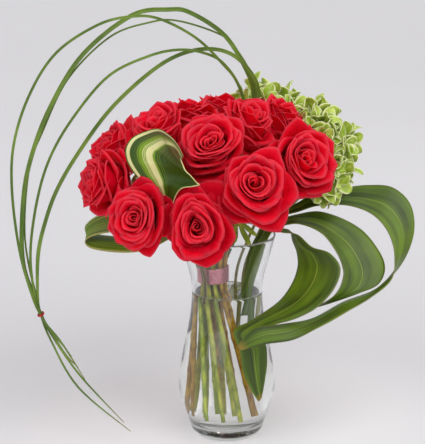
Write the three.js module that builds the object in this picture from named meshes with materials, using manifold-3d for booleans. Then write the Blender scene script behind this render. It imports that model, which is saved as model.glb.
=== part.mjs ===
// Red roses with looped leaves and arching grass in a clear glass vase.
// Millimetres, Z up. The origin is the middle of the vase's foot, on the ground.
// The front of the arrangement looks along -Y.

import * as THREE from 'three';
import { mergeVertices } from 'three/addons/utils/BufferGeometryUtils.js';
import Module from 'manifold-3d';

const wasm = await Module();
wasm.setup();

// Driving dimensions

const CLEARANCE = 0.35;

// the vase's glass as [radius, height], from the foot up the outside and down the inside
const VASE_SIDES = 24;
const VASE_OUTSIDE = [
  [24, 0], [31, 1.5], [35, 6], [38.7, 18], [45.2, 38], [47.3, 48], [46.6, 63],
  [42.7, 88], [37.4, 114], [34.5, 140], [35.5, 160], [41.8, 184], [47, 203],
];
const VASE_RIM = [46.1, 203.8];
const VASE_INSIDE = [
  [45.2, 203], [39.6, 184], [33.1, 160], [32.1, 140], [35.0, 114], [40.3, 88],
  [44.1, 63], [44.7, 48], [42.3, 38], [35, 20], [27, 13],
];
const WATER_LEVEL = 146;

// the tied bundle: its middle in the neck, the middle of its foot, how it spreads and turns
const WAIST = [-13.7, 0, 165];
const FOOT_CENTRE = [-4, -2];
const FOOT_SPREAD = 2.55;
const FOOT_TURN = 40;
const MOUTH_SPREAD = 1.5;
const MOUTH_HEIGHT = 200;
const STEM_RADIUS = 2.1;
const STEM_SIDES = 5;
const HIP_RADIUS = 4.6;
// sepal tips and the notches between them as [reach, height below the bloom]
const SEPAL_TIP = [14, -8.5];
const SEPAL_NOTCH = [5.4, -4.2];
const CALYX_THICKNESS = 1;

// the pink wire around the bundle
const WRAP_INNER = 14.1;
const WRAP_DEPTH = 1.5;
const WRAP_BOTTOM = 156;
const WRAP_TURNS = 3;
const WRAP_PITCH = 5.6;

const PETAL_THICKNESS = 0.9;
const LEAF_THICKNESS = 1.1;
const LEAF_HOLLOW = 0.05;
const FRONT_CROWN = 0.16;
const GRASS_THICKNESS = 0.9;
const SPRIG_LEAF_THICKNESS = 0.9;

// Roses. face: the middle of the bloom's top; aim: where it looks; slot: its stem's place in the
// tied bundle as [distance from the middle, degrees]; foot: the height at which its stem ends.
const ROSES = [
  { face: [-29, -108, 239], aim: [-0.05, -0.97, 0.18], size: 1.06, seed: 1, slot: [10.2, 268], foot: 21 },
  { face: [24, -97, 279], aim: [0.08, -0.87, 0.48], size: 1.12, seed: 2, slot: [10.2, 305], foot: 24 },
  { face: [-87, -93, 244], aim: [-0.34, -0.9, 0.28], size: 0.92, seed: 3, slot: [10.2, 232], foot: 22 },
  { face: [-15, -64, 309], aim: [-0.03, -0.8, 0.58], size: 1.08, seed: 4, slot: [5.1, 280], foot: 26 },
  { face: [27, -8, 324], aim: [0.4, -0.36, 0.84], size: 1.06, seed: 5, slot: [0, 0], foot: 28 },
  { face: [63, 45, 316], aim: [0.55, -0.1, 0.83], size: 0.94, seed: 6, slot: [5.1, 50], foot: 31 },
  { face: [76, -46, 289], aim: [0.5, -0.78, 0.37], size: 1.04, seed: 7, slot: [10.2, 350], foot: 21 },
  { face: [87, 18, 293], aim: [0.8, -0.2, 0.55], size: 0.62, seed: 8, slot: [5.1, 355], foot: 34 },
  { face: [-68, -26, 323], aim: [-0.35, -0.35, 0.87], size: 0.95, seed: 9, slot: [5.1, 215], foot: 29 },
  { face: [-35, 28, 327], aim: [-0.1, 0.05, 1], size: 0.96, seed: 10, slot: [5.1, 160], foot: 22 },
  { face: [-119, 20, 290], aim: [-0.75, -0.2, 0.6], size: 0.95, seed: 11, slot: [10.2, 160], foot: 23 },
  { face: [-131, -30, 262], aim: [-0.9, -0.35, 0.1], size: 0.98, seed: 12, slot: [10.2, 198], foot: 22 },
  { face: [-4, 66, 324], aim: [0, 0.22, 0.97], size: 0.94, seed: 13, slot: [5.1, 105], foot: 26 },
  { face: [-78, 88, 284], aim: [-0.5, 0.75, 0.43], size: 0.95, seed: 14, slot: [10.2, 125], foot: 21 },
  { face: [-14, 112, 266], aim: [0, 0.9, 0.4], size: 0.96, seed: 15, slot: [10.2, 88], foot: 24 },
  { face: [50, 98, 276], aim: [0.4, 0.75, 0.5], size: 0.95, seed: 16, slot: [10.2, 45], foot: 22 },
];

// Strap leaves as pairs of opposite edge points, from the stalk in the vase to the tip.
const OUTER_LOOP = [
  [[18, 6, 106], [14, 6, 106]], [[21, 7, 150], [16, 7, 150]], [[31, 10, 190], [24, 9, 190]],
  [[43, 12, 213], [46, 16, 218]], [[70, 14, 222], [69, 22, 229]], [[89, 18, 227], [91, 34, 239]],
  [[114, 18, 228], [116, 40, 240]], [[135, 12, 223], [139, 40, 242]], [[149, 4, 214], [163, 34, 241]],
  [[158, -6, 201], [180, 24, 226]], [[161, -18, 186], [182, 10, 201]], [[156, -36, 168], [168, -4, 173]],
  [[135, -50, 153], [144, -16, 152]], [[111, -64, 144], [110, -32, 144]], [[87, -74, 133], [79, -54, 134]],
  [[62, -80, 122], [50, -70, 134]], [[35, -81, 118], [25, -75, 132]], [[12, -76, 110], [9, -73, 113]],
];
const MIDDLE_LOOP = [
  [[15, 0, 122], [10, 0, 122]], [[20, 0, 140], [13, 0, 140]], [[28, -1, 165], [18, -2, 165]],
  [[37, -2, 190], [26, -3, 190]], [[42, -3, 209], [44, 3, 214]], [[54, -1, 212], [53, 7, 217]],
  [[70, -3, 214], [69, 15, 219]], [[91, -10, 206], [91, 20, 220]], [[105, -18, 190], [118, 16, 212]],
  [[111, -26, 176], [137, 6, 200]], [[110, -32, 166], [152, -8, 177]], [[104, -40, 156], [147, -20, 160]],
  [[94, -46, 149], [126, -30, 152]], [[79, -50, 142], [98, -40, 145]], [[68, -52, 139], [76, -46, 141]],
];
const INNER_LOOP = [
  [[23, -11, 118], [18, -12, 118]], [[24, -12, 150], [19, -13, 150]], [[33, -12, 182], [27, -14, 182]],
  [[42, -11, 207], [43, -6, 211]], [[55, -9, 207], [54, -1, 209]], [[68, -14, 206], [61, 1, 206]],
  [[81, -26, 197], [63, -3, 197]], [[97, -36, 194], [67, -9, 187]], [[107, -46, 182], [68, -16, 175]],
  [[101, -54, 164], [63, -24, 161]], [[85, -60, 148], [52, -31, 147]], [[64, -61, 137], [36, -39, 137]],
  [[42, -62, 130], [20, -45, 128]], [[22, -60, 117], [6.5, -51, 121]], [[35, -54, 113], [12, -56, 102]],
  [[38, -54, 93], [15, -54, 82]], [[36, -53, 72], [22, -53, 64]], [[33, -52, 54], [30, -52, 50]],
];
const LEFT_LOOP = [
  [[-24, 14, 140], [-19, 16, 140]], [[-30, 9, 165], [-26.5, 13, 165]], [[-36, 2, 188], [-34, 8, 190]],
  [[-44.5, -3, 207], [-44.5, 5, 210]], [[-58, -12, 200], [-59, 3, 203]], [[-75, -20, 193], [-76, 5, 196]],
  [[-95, -18, 190], [-100, 12, 197]], [[-120, -16, 191], [-123, 16, 198]], [[-134, -14, 194], [-137, 18, 200]],
  [[-137, -12, 200], [-139, 19, 206]], [[-129, -11, 205], [-132, 22, 213]],
  [[-115, -12, 208], [-119, 27, 218]], [[-100, -12, 209], [-103, 27, 218]], [[-86, -5, 212], [-88, 18, 217]],
];
const FRONT_LOOP = [
  [[-19, -19, 138], [-23, -17, 138]], [[-20, -21, 165], [-24, -18, 165]], [[-26, -25, 192], [-30, -22, 192]],
  [[-30, -29, 211], [-34, -26, 210]], [[-41, -48, 231], [-46, -46, 229]], [[-51, -66, 246], [-58, -58, 247]],
  [[-44, -77, 266], [-69, -60, 260]], [[-32, -85, 271], [-79, -58, 268]], [[-26, -88, 273], [-88, -57, 278]],
  [[-28, -91, 275], [-94, -56, 289]], [[-31, -93, 279], [-95, -56, 300]],
  [[-35, -94, 284], [-89, -55, 310]], [[-39, -92, 288], [-77, -54, 316]],
  [[-41, -88, 292], [-64, -56, 319]], [[-43, -81, 296], [-53, -60, 313]],
  [[-44, -74, 295], [-46, -64, 305]], [[-43, -73, 288], [-41, -68, 296]],
];

// Grass blades, which rise through the blooms in one sheaf and are tied together at the far left.
// path: points of the middle line from the top of the bloom dome to the left; layer: the blade's
// place in the sheaf from front to back; tip: its free end below the tie.
const GRASS_TIE = [-181.5, -10, 125];
const GRASS_ROOT = [
  [-3, 16, 154], [-3, 16, 168], [7, 13.5, 195], [7.5, 14.5, 213],
  [5.5, 15, 225], [12, 22, 240], [18, 29, 257], [24, 38, 285],
];
const GRASS_LAYER_GAP = 1.35;
const GRASS = [
  { layer: -2, width: 3, tip: [[-175, -17, 116], [-160, -32, 103], [-137, -45, 70]],
    path: [[12, 28, 341], [-6, 20, 368], [-31, 14, 393], [-64, 9, 411], [-89, 5, 414], [-121, 1, 407],
      [-161, -2, 381], [-187, -6, 342], [-203, -9, 295], [-206, -11, 248], [-200, -13, 189],
      [-189, -12.8, 144]] },
  { layer: 1, width: 5, tip: [[-170, -10, 101], [-143, -19, 64], [-101, -29, 20]],
    path: [[26, 46, 330], [20, 40, 354], [-2, 34, 391], [-35, 29, 414], [-56, 23, 418], [-91, 18, 413],
      [-138, 13, 376], [-170, 8, 325], [-189, 3, 276], [-197, -1, 233], [-198, -5, 177], [-186, -8.6, 139]] },
  { layer: 2, width: 2, tip: [[-177, -4, 113], [-165, -8, 98], [-152, -14, 83]],
    path: [[28, 52, 333], [22, 47, 355], [4, 42, 383], [-14, 38, 395], [-49, 33, 406], [-74, 28, 405],
      [-112, 22, 392], [-152, 16, 353], [-177, 11, 303], [-191, 6, 265], [-196, 0, 198], [-185, -7, 138]] },
  { layer: -1, width: 3, tip: [[-171, -15, 108], [-157, -28, 90], [-144, -38, 80]],
    path: [[14, 34, 336], [-3, 26, 365], [-22, 18, 377], [-46, 13, 381], [-74, 8, 376], [-112, 4, 358],
      [-144, 0, 322], [-168, -4, 283], [-182, -7, 241], [-190, -10, 188], [-187, -11.3, 145]] },
  { layer: 0, width: 4.4, tip: [[-172, -13, 99], [-145, -26, 55], [-94, -38, 14]],
    path: [[30, 40, 331], [25, 35, 352], [6, 29, 373], [-18, 25, 380], [-46, 20, 375], [-75, 15, 358],
      [-112, 10, 324], [-142, 5, 284], [-163, 1, 249], [-175, -4, 218], [-183, -7, 184], [-184, -10, 142]] },
];
const GRASS_TIE_WIDTH = 2.4;
const GRASS_TIP_WIDTH = 1.4;
const TIE_RADIUS = 0.8;
// the tie's reach past the sheaf, across its width and its depth
const TIE_ROOM = [1.9, 2.1];
const TIE_SIDES = 12;
const TIE_SECTION = 5;

// Variegated sprigs behind the blooms, as [stalk from the vase up to the whorl, where it points].
const SPRIG_STALK_RADIUS = 1.5;
const SPRIG_LEAF_LENGTH = 25;
const SPRIG_LEAF_WIDTH = 14;
const SPRIG_LEAVES = 9;
const SPRIG_WHORL_HEIGHT = 22;
const SPRIGS = [
  { stalk: [[-3, 20, 100], [-4, 22, 165], [0, 32, 205], [8, 52, 240], [19, 73, 282], [29, 84, 306]],
    aim: [-0.1, 0.1, 1], seed: 31 },
  { stalk: [[7, 14, 104], [9, 12, 165], [26, 24, 205], [56, 40, 250], [72, 71, 282], [62, 93, 296]],
    aim: [-0.1, 0.3, 0.95], seed: 32 },
  { stalk: [[14, 14, 98], [16, 13, 165], [36, 22, 210], [80, 52, 262], [86, 66, 289]], aim: [0.05, 0.3, 0.97],
    seed: 33 },
  { stalk: [[19, 12, 104], [22, 11, 165], [40, 17.5, 212], [80, 36, 255], [99, 43, 275]],
    aim: [0.66, 0.2, 0.72], seed: 34 },
  { stalk: [[21, 5, 96], [24, 3.5, 165], [44, 8, 214], [74, 14, 239], [90, 16, 256]],
    aim: [0.92, -0.04, 0.3], seed: 35 },
];

// Petal shape. Each row goes from the outermost petal to the innermost; a petal's lean is its
// angle from the bloom's axis at each share of its length.
const DEPTH_KEYS = [0, 0.25, 0.5, 0.75, 1];
const LENGTH_KEYS = [0, 0.28, 0.62, 0.86, 1];
const PETAL_LEAN = [
  [82, 46, 27, 56, 138],
  [78, 36, 12, 28, 108],
  [72, 24, 3, 8, 80],
  [62, 13, -9, -7, 28],
  [40, 4, -8, -8, 5],
];
const PETAL_LENGTH = [50, 51, 50, 47, 42];
const PETAL_HALF_WIDTH = [29, 27, 22, 15, 8];
const PETAL_BASE_RADIUS = [3.5, 3, 2.5, 2, 1];
const PETAL_BASE_HEIGHT = [0, 1.5, 3, 4.5, 6];
const BLOOM_HEIGHT = 44;
// whorls of petals around a bud: how deep each sits, its petals, the facets across a petal, half
// the angle that a petal may take, where its rows lie along its length, and the ring of the core
// that it grows from as [radius, lower height, upper height]
const WHORLS = [
  { depth: 0.03, offset: 0, petals: 5, columns: 3, spread: 33, rows: [0.5, 0.84, 1], ring: [6.5, -0.6, 0.6] },
  { depth: 0.34, offset: 36, petals: 5, columns: 3, spread: 33, rows: [0.58, 1], ring: [6, 2.6, 3.8] },
  { depth: 0.6, offset: 10, petals: 3, columns: 2, spread: 56, rows: [0.6, 1], ring: [5.4, 6, 7.2] },
];
const BUD_PROFILE = [[3.6, 11], [5.4, 24], [5, 35], [2, 42]];
const BUD_SIDES = 5;

// Small helpers

function vec(p) {
  return new THREE.Vector3(p[0], p[1], p[2]);
}

function radians(degrees) {
  return degrees * Math.PI / 180;
}

function clamp(x, low, high) {
  return Math.min(high, Math.max(low, x));
}

// straight interpolation of a table at x
function between(keys, values, x) {
  let k = 0;
  while (k < keys.length - 2 && x > keys[k + 1]) {
    k += 1;
  }
  const s = clamp((x - keys[k]) / (keys[k + 1] - keys[k]), 0, 1);
  return values[k] * (1 - s) + values[k + 1] * s;
}

// slope at each key for the smooth interpolation below
function slopes(keys, values) {
  const last = keys.length - 1;
  return keys.map((key, k) => {
    if (k === 0) {
      return (values[1] - values[0]) / (keys[1] - keys[0]);
    }
    if (k === last) {
      return (values[last] - values[last - 1]) / (keys[last] - keys[last - 1]);
    }
    const before = key - keys[k - 1];
    const after = keys[k + 1] - key;
    const rise = (values[k] - values[k - 1]) / before * after + (values[k + 1] - values[k]) / after * before;
    return rise / (before + after);
  });
}

function smoothBetween(keys, values, gradients, x) {
  let k = 0;
  while (k < keys.length - 2 && x > keys[k + 1]) {
    k += 1;
  }
  const h = keys[k + 1] - keys[k];
  const s = clamp((x - keys[k]) / h, 0, 1);
  const s2 = s * s;
  const s3 = s2 * s;
  return (2 * s3 - 3 * s2 + 1) * values[k] + (s3 - 2 * s2 + s) * h * gradients[k]
    + (3 * s2 - 2 * s3) * values[k + 1] + (s3 - s2) * h * gradients[k + 1];
}

// a small seeded generator
class Draw {
  constructor(seed) {
    this.state = seed * 7919 % 2147483647;
    for (let i = 0; i < 4; i += 1) {
      this.next();
    }
  }

  next() {
    this.state = this.state * 16807 % 2147483647;
    return this.state / 2147483647;
  }

  spread(size) {
    return (2 * this.next() - 1) * size;
  }
}

// a smooth curve through points, with so many steps between each two
function smoothPath(points, steps) {
  const out = [];
  for (let i = 0; i < points.length - 1; i += 1) {
    const a = points[Math.max(i - 1, 0)];
    const b = points[i];
    const c = points[i + 1];
    const d = points[Math.min(i + 2, points.length - 1)];
    for (let k = 0; k < steps; k += 1) {
      const s = k / steps;
      const p = new THREE.Vector3();
      p.addScaledVector(a, -0.5 * s + s * s - 0.5 * s * s * s);
      p.addScaledVector(b, 1 - 2.5 * s * s + 1.5 * s * s * s);
      p.addScaledVector(c, 0.5 * s + 2 * s * s - 1.5 * s * s * s);
      p.addScaledVector(d, -0.5 * s * s + 0.5 * s * s * s);
      out.push(p);
    }
  }
  out.push(points[points.length - 1].clone());
  return out;
}

function meshGeometry(points, triangles) {
  const geometry = new THREE.BufferGeometry();
  const coordinates = points.flatMap((p) => [p.x, p.y, p.z]);
  geometry.setAttribute('position', new THREE.Float32BufferAttribute(coordinates, 3));
  geometry.setIndex(facingOut(points, triangles).flat());
  return geometry;
}

// turns all triangles round when the body's volume comes out negative
function facingOut(points, triangles) {
  let volume = 0;
  for (const [a, b, c] of triangles) {
    volume += points[a].dot(new THREE.Vector3().crossVectors(points[b], points[c]));
  }
  return volume < 0 ? triangles.map(([a, b, c]) => [a, c, b]) : triangles;
}

// a surface grid's normal at each point, from the triangles that meet there
function gridNormals(grid) {
  const normals = grid.map((row) => row.map(() => new THREE.Vector3()));
  const collect = (...corners) => {
    const [a, b, c] = corners.map(([i, j]) => grid[i][j]);
    const normal = b.clone().sub(a).cross(c.clone().sub(a));
    corners.forEach(([i, j]) => normals[i][j].add(normal));
  };
  for (let i = 0; i < grid.length - 1; i += 1) {
    for (let j = 0; j < grid[0].length - 1; j += 1) {
      collect([i, j], [i, j + 1], [i + 1, j + 1]);
      collect([i, j], [i + 1, j + 1], [i + 1, j]);
    }
  }
  return normals.map((row) => row.map((normal) => normal.normalize()));
}

// closes a grid of mid-surface points into a blade of even thickness
function blade(grid, thickness) {
  const rows = grid.length;
  const columns = grid[0].length;
  const points = [];
  const normals = gridNormals(grid);
  const at = (side, i, j) => side * rows * columns + i * columns + j;
  for (const side of [0.5, -0.5]) {
    for (let i = 0; i < rows; i += 1) {
      for (let j = 0; j < columns; j += 1) {
        points.push(grid[i][j].clone().addScaledVector(normals[i][j], side * thickness));
      }
    }
  }
  const triangles = [];
  for (let i = 0; i < rows - 1; i += 1) {
    for (let j = 0; j < columns - 1; j += 1) {
      triangles.push([at(0, i, j), at(0, i, j + 1), at(0, i + 1, j + 1)]);
      triangles.push([at(0, i, j), at(0, i + 1, j + 1), at(0, i + 1, j)]);
      triangles.push([at(1, i, j), at(1, i + 1, j + 1), at(1, i, j + 1)]);
      triangles.push([at(1, i, j), at(1, i + 1, j), at(1, i + 1, j + 1)]);
    }
  }
  const rim = [];
  for (let j = 0; j < columns - 1; j += 1) {
    rim.push([0, j]);
  }
  for (let i = 0; i < rows - 1; i += 1) {
    rim.push([i, columns - 1]);
  }
  for (let j = columns - 1; j > 0; j -= 1) {
    rim.push([rows - 1, j]);
  }
  for (let i = rows - 1; i > 0; i -= 1) {
    rim.push([i, 0]);
  }
  rim.forEach(([i, j], k) => {
    const [m, n] = rim[(k + 1) % rim.length];
    triangles.push([at(0, i, j), at(1, i, j), at(1, m, n)]);
    triangles.push([at(0, i, j), at(1, m, n), at(0, m, n)]);
  });
  return meshGeometry(points, triangles);
}

// rings of points across a path; the radius is given for each point of the path
function barRings(path, radiusAt, sides) {
  const rings = [];
  let side = new THREE.Vector3(1, 0, 0);
  path.forEach((point, i) => {
    const along = path[Math.min(i + 1, path.length - 1)].clone().sub(path[Math.max(i - 1, 0)]).normalize();
    side = side.addScaledVector(along, -side.dot(along)).normalize();
    const other = new THREE.Vector3().crossVectors(along, side);
    const ring = [];
    for (let k = 0; k < sides; k += 1) {
      const angle = 2 * Math.PI * k / sides;
      const reach = radiusAt(i);
      ring.push(point.clone().addScaledVector(side, reach * Math.cos(angle))
        .addScaledVector(other, reach * Math.sin(angle)));
    }
    rings.push(ring);
  });
  return rings;
}

function bar(path, radiusAt, sides) {
  return skin(barRings(path, radiusAt, sides));
}

function turned(profile, sides) {
  const points = profile.map(([radius, height]) => new THREE.Vector2(radius, height));
  const geometry = new THREE.LatheGeometry(points, sides);
  geometry.rotateX(Math.PI / 2);
  return geometry;
}

// solid body for joins and cuts
function solid(geometry) {
  const bare = new THREE.BufferGeometry();
  bare.setAttribute('position', geometry.getAttribute('position').clone());
  if (geometry.index) {
    bare.setIndex(geometry.index.clone());
  }
  const merged = mergeVertices(bare, 1e-4);
  const kept = [];
  const index = merged.index.array;
  for (let i = 0; i < index.length; i += 3) {
    if (index[i] !== index[i + 1] && index[i + 1] !== index[i + 2] && index[i] !== index[i + 2]) {
      kept.push([index[i], index[i + 1], index[i + 2]]);
    }
  }
  const position = merged.getAttribute('position');
  const points = [];
  for (let i = 0; i < position.count; i += 1) {
    points.push(new THREE.Vector3().fromBufferAttribute(position, i));
  }
  return new wasm.Manifold(new wasm.Mesh({
    numProp: 3,
    vertProperties: new Float32Array(position.array),
    triVerts: new Uint32Array(facingOut(points, kept).flat()),
  }));
}

function fromSolid(body) {
  const mesh = body.getMesh();
  const geometry = new THREE.BufferGeometry();
  geometry.setAttribute('position', new THREE.Float32BufferAttribute(mesh.vertProperties, 3));
  geometry.setIndex(new THREE.Uint32BufferAttribute(mesh.triVerts, 1));
  return geometry;
}

// joins bodies into one and fills the pockets that are shut in between them
function joined(geometries) {
  let body = solid(geometries[0]);
  for (const geometry of geometries.slice(1)) {
    body = body.add(solid(geometry));
  }
  const skins = body.decompose();
  skins.sort((a, b) => b.volume() - a.volume());
  return fromSolid(skins[0]);
}

// Vase and water

const vaseProfile = [[0, 0], ...VASE_OUTSIDE, VASE_RIM, ...VASE_INSIDE, [0, 13]];

function waterBody() {
  const gap = CLEARANCE * 1.1;
  const heights = VASE_INSIDE.map((p) => p[1]).reverse();
  const reaches = VASE_INSIDE.map((p) => p[0]).reverse();
  const wall = VASE_INSIDE.filter((p) => p[1] < WATER_LEVEL).reverse().map(([r, z]) => [r - gap, z]);
  wall[0][1] += CLEARANCE;
  const rim = [between(heights, reaches, WATER_LEVEL) - gap, WATER_LEVEL];
  return solid(turned([[0, wall[0][1]], ...wall, rim, [0, WATER_LEVEL]], VASE_SIDES));
}

// Roses

// one petal's middle surface in the bloom's own frame; depth is 0 outermost and 1 innermost
function petalGrid(depth, azimuth, draw, whorl) {
  const lean = LENGTH_KEYS.map((key, k) => between(DEPTH_KEYS, PETAL_LEAN.map((row) => row[k]), depth));
  const nod = draw.spread(5);
  [0, 1, 1, 1.5, 3].forEach((share, k) => {
    lean[k] += share * nod;
  });
  const length = between(DEPTH_KEYS, PETAL_LENGTH, depth) * (1 + draw.spread(0.06));
  const halfWidth = between(DEPTH_KEYS, PETAL_HALF_WIDTH, depth) * (1 + draw.spread(0.08));
  const baseRadius = between(DEPTH_KEYS, PETAL_BASE_RADIUS, depth);
  const baseHeight = between(DEPTH_KEYS, PETAL_BASE_HEIGHT, depth);
  const wavePhase = draw.next() * 6.28;
  const skew = draw.spread(0.05);
  const outer = 1 - depth;
  const grid = Array.from({ length: whorl.rows.length + 1 }, () => []);
  for (let j = 0; j <= whorl.columns; j += 1) {
    const u = 2 * j / whorl.columns - 1;
    const side = Math.abs(u);
    const tall = 1 - 0.15 * side ** 2.6 - 0.05 * side + 0.02 * Math.exp(-((u / 0.2) ** 2)) + skew * u;
    const bent = lean.slice();
    bent[3] += 10 * side ** 2 * outer;
    bent[4] += (35 * side ** 2 + 14 * Math.sin(3.1 * u + wavePhase)) * outer;
    const gradients = slopes(LENGTH_KEYS, bent);
    const steps = 50;
    const reach = [baseRadius];
    const rise = [baseHeight];
    for (let k = 0; k < steps; k += 1) {
      const here = radians(smoothBetween(LENGTH_KEYS, bent, gradients, (k + 0.5) / steps));
      reach.push(reach[k] + Math.sin(here) * length * tall / steps);
      rise.push(rise[k] + Math.cos(here) * length * tall / steps);
    }
    const root = azimuth + u * Math.PI / whorl.petals;
    const middle = (whorl.ring[1] + whorl.ring[2]) / 2;
    grid[0].push(new THREE.Vector3(whorl.ring[0] * Math.cos(root), whorl.ring[0] * Math.sin(root), middle));
    whorl.rows.forEach((v, i) => {
      const k = Math.round(v * steps);
      const shape = 0.42 + 0.58 * Math.sin(clamp(v / 0.62, 0, 1) * Math.PI / 2)
        - 0.1 * clamp((v - 0.62) / 0.38, 0, 1) ** 2;
      const angle = azimuth + u * Math.min(halfWidth * shape / reach[k], radians(whorl.spread));
      grid[i + 1].push(new THREE.Vector3(reach[k] * Math.cos(angle), reach[k] * Math.sin(angle), rise[k]));
    });
  }
  return grid;
}

function coreRing(radius, height, sides, start) {
  return Array.from({ length: sides }, (_, k) => {
    const angle = start + 2 * Math.PI * k / sides;
    return new THREE.Vector3(radius * Math.cos(angle), radius * Math.sin(angle), height);
  });
}

// the wound bud: each ring grows around its turn and ends in a step
function budRings(start) {
  return BUD_PROFILE.map(([radius, height]) => coreRing(radius, height, BUD_SIDES, start).map((p, k) => {
    const wound = 0.86 + 0.22 * ((k / BUD_SIDES + height / 60) % 1);
    return new THREE.Vector3(p.x * wound, p.y * wound, p.z);
  }));
}

// the bloom's own frame: its base and its three directions
function bloomFrame(rose) {
  const axis = vec(rose.aim).normalize();
  const helper = Math.abs(axis.x) < 0.75 ? new THREE.Vector3(1, 0, 0) : new THREE.Vector3(0, 0, 1);
  const first = helper.addScaledVector(axis, -helper.dot(axis)).normalize();
  const second = new THREE.Vector3().crossVectors(axis, first);
  const base = vec(rose.face).addScaledVector(axis, -BLOOM_HEIGHT * rose.size);
  return { base, axis, first, second };
}

// all of a bloom's points, placed in the arrangement
function bloomPoints(rose) {
  const draw = new Draw(rose.seed);
  const start = draw.next() * 6.28;
  const whorls = WHORLS.map((whorl) => {
    const first = start + radians(whorl.offset);
    const petals = [];
    for (let k = 0; k < whorl.petals; k += 1) {
      petals.push(petalGrid(whorl.depth, first + 2 * Math.PI * k / whorl.petals, draw, whorl));
    }
    const sides = whorl.petals * whorl.columns;
    const ringStart = first - Math.PI / whorl.petals;
    const [radius, low, high] = whorl.ring;
    const lower = coreRing(radius, low, sides, ringStart);
    const upper = coreRing(radius, high, sides, ringStart);
    return { petals, lower, upper };
  });
  const bud = budRings(start);
  const { base, axis, first, second } = bloomFrame(rose);
  const all = [bud, ...whorls.map((whorl) => [whorl.lower, whorl.upper, ...whorl.petals.flat()])].flat(2);
  for (const p of all) {
    const [x, y, z] = [p.x, p.y, p.z].map((value) => value * rose.size);
    p.copy(base).addScaledVector(first, x).addScaledVector(second, y).addScaledVector(axis, z);
  }
  return { whorls, bud, all };
}

// Neighbouring blooms press on each other: each is squeezed on the side of the other until it
// stops at the plane between them.
function squeezeApart(blooms) {
  for (let round = 0; round < 3; round += 1) {
    for (const one of blooms) {
      for (const other of blooms) {
        if (one !== other) {
          squeeze(one, other);
        }
      }
    }
  }
}

function squeeze(one, other) {
  const toward = other.centre.clone().sub(one.centre);
  const distance = toward.length();
  toward.normalize();
  const room = distance * one.size / (one.size + other.size) - (PETAL_THICKNESS + CLEARANCE) / 2;
  const points = one.all;
  const reach = Math.max(...points.map((p) => p.clone().sub(one.centre).dot(toward)));
  if (reach <= room) {
    return;
  }
  for (const p of points) {
    const along = p.clone().sub(one.centre).dot(toward);
    if (along > 0) {
      p.addScaledVector(toward, along * (room / reach - 1));
    }
  }
}

// triangles between two closed rings of indices that run the same way round; rings that aren't
// aligned start at the two points that lie nearest to each other
function ringStrip(points, low, high, aligned) {
  const triangles = [];
  const nearest = high.map((q) => points[q].distanceTo(points[low[0]]));
  const start = aligned ? 0 : nearest.indexOf(Math.min(...nearest));
  let i = 0;
  let j = 0;
  while (i < low.length || j < high.length) {
    const a = low[i % low.length];
    const b = high[(start + j) % high.length];
    if (j * low.length > i * high.length || j === high.length) {
      const next = low[(i + 1) % low.length];
      triangles.push([a, next, b]);
      i += 1;
    } else {
      const next = high[(start + j + 1) % high.length];
      triangles.push([a, next, b]);
      j += 1;
    }
  }
  return triangles;
}

// one closed skin: the core's rings, with every petal growing out of its part of a ring
function bloomBody(bloom) {
  const points = [];
  const triangles = [];
  const store = (ring) => ring.map((p) => points.push(p) - 1);
  let below = null;
  for (const whorl of bloom.whorls) {
    const lower = store(whorl.lower);
    const upper = store(whorl.upper);
    if (below) {
      triangles.push(...ringStrip(points, below, lower, false));
    } else {
      for (let j = 1; j < lower.length - 1; j += 1) {
        triangles.push([lower[0], lower[j + 1], lower[j]]);
      }
    }
    whorl.petals.forEach((petal, k) => {
      const columns = petal[0].length - 1;
      const pick = (ring, j) => ring[(k * columns + j) % ring.length];
      const under = [petal[0].map((p, j) => pick(lower, j))];
      const over = [petal[0].map((p, j) => pick(upper, j))];
      for (let i = 1; i < petal.length; i += 1) {
        const faces = facesOf(petal, i);
        under.push(store(faces.under));
        over.push(store(faces.over));
      }
      triangles.push(...petalSkin(under, over));
    });
    below = upper;
  }
  for (const ring of bloom.bud) {
    const level = store(ring);
    triangles.push(...ringStrip(points, below, level, below.length === level.length));
    below = level;
  }
  for (let j = 1; j < below.length - 1; j += 1) {
    triangles.push([below[0], below[j], below[j + 1]]);
  }
  return meshGeometry(points, triangles);
}

// the two faces of one row of a petal, half a thickness to either side of its middle
function facesOf(grid, i) {
  const under = [];
  const over = [];
  grid[i].forEach((p, j) => {
    const along = grid[Math.min(i + 1, grid.length - 1)][j].clone().sub(grid[i - 1][j]);
    const across = grid[i][Math.min(j + 1, grid[i].length - 1)].clone().sub(grid[i][Math.max(j - 1, 0)]);
    const normal = along.cross(across).normalize();
    over.push(p.clone().addScaledVector(normal, PETAL_THICKNESS / 2));
    under.push(p.clone().addScaledVector(normal, -PETAL_THICKNESS / 2));
  });
  return { under, over };
}

function petalSkin(under, over) {
  const triangles = [];
  const quad = (a, b, c, d) => triangles.push([a, b, c], [a, c, d]);
  const last = under.length - 1;
  const columns = under[0].length - 1;
  for (let i = 0; i < last; i += 1) {
    for (let j = 0; j < columns; j += 1) {
      triangles.push([under[i][j], under[i][j + 1], under[i + 1][j + 1]]);
      triangles.push([under[i][j], under[i + 1][j + 1], under[i + 1][j]]);
      triangles.push([over[i][j], over[i + 1][j + 1], over[i][j + 1]]);
      triangles.push([over[i][j], over[i + 1][j], over[i + 1][j + 1]]);
    }
    quad(over[i][0], under[i][0], under[i + 1][0], over[i + 1][0]);
    const n = columns;
    quad(under[i][n], over[i][n], over[i + 1][n], under[i + 1][n]);
  }
  for (let j = 0; j < columns; j += 1) {
    quad(under[last][j], under[last][j + 1], over[last][j + 1], over[last][j]);
  }
  return triangles;
}

// Stems

// a stem's place in the bundle, turned and spread about the bundle's middle
function bundlePlace(slot, spread, turn) {
  const angle = radians(slot[1] + turn);
  return [slot[0] * spread * Math.cos(angle), slot[0] * spread * Math.sin(angle)];
}

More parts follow.
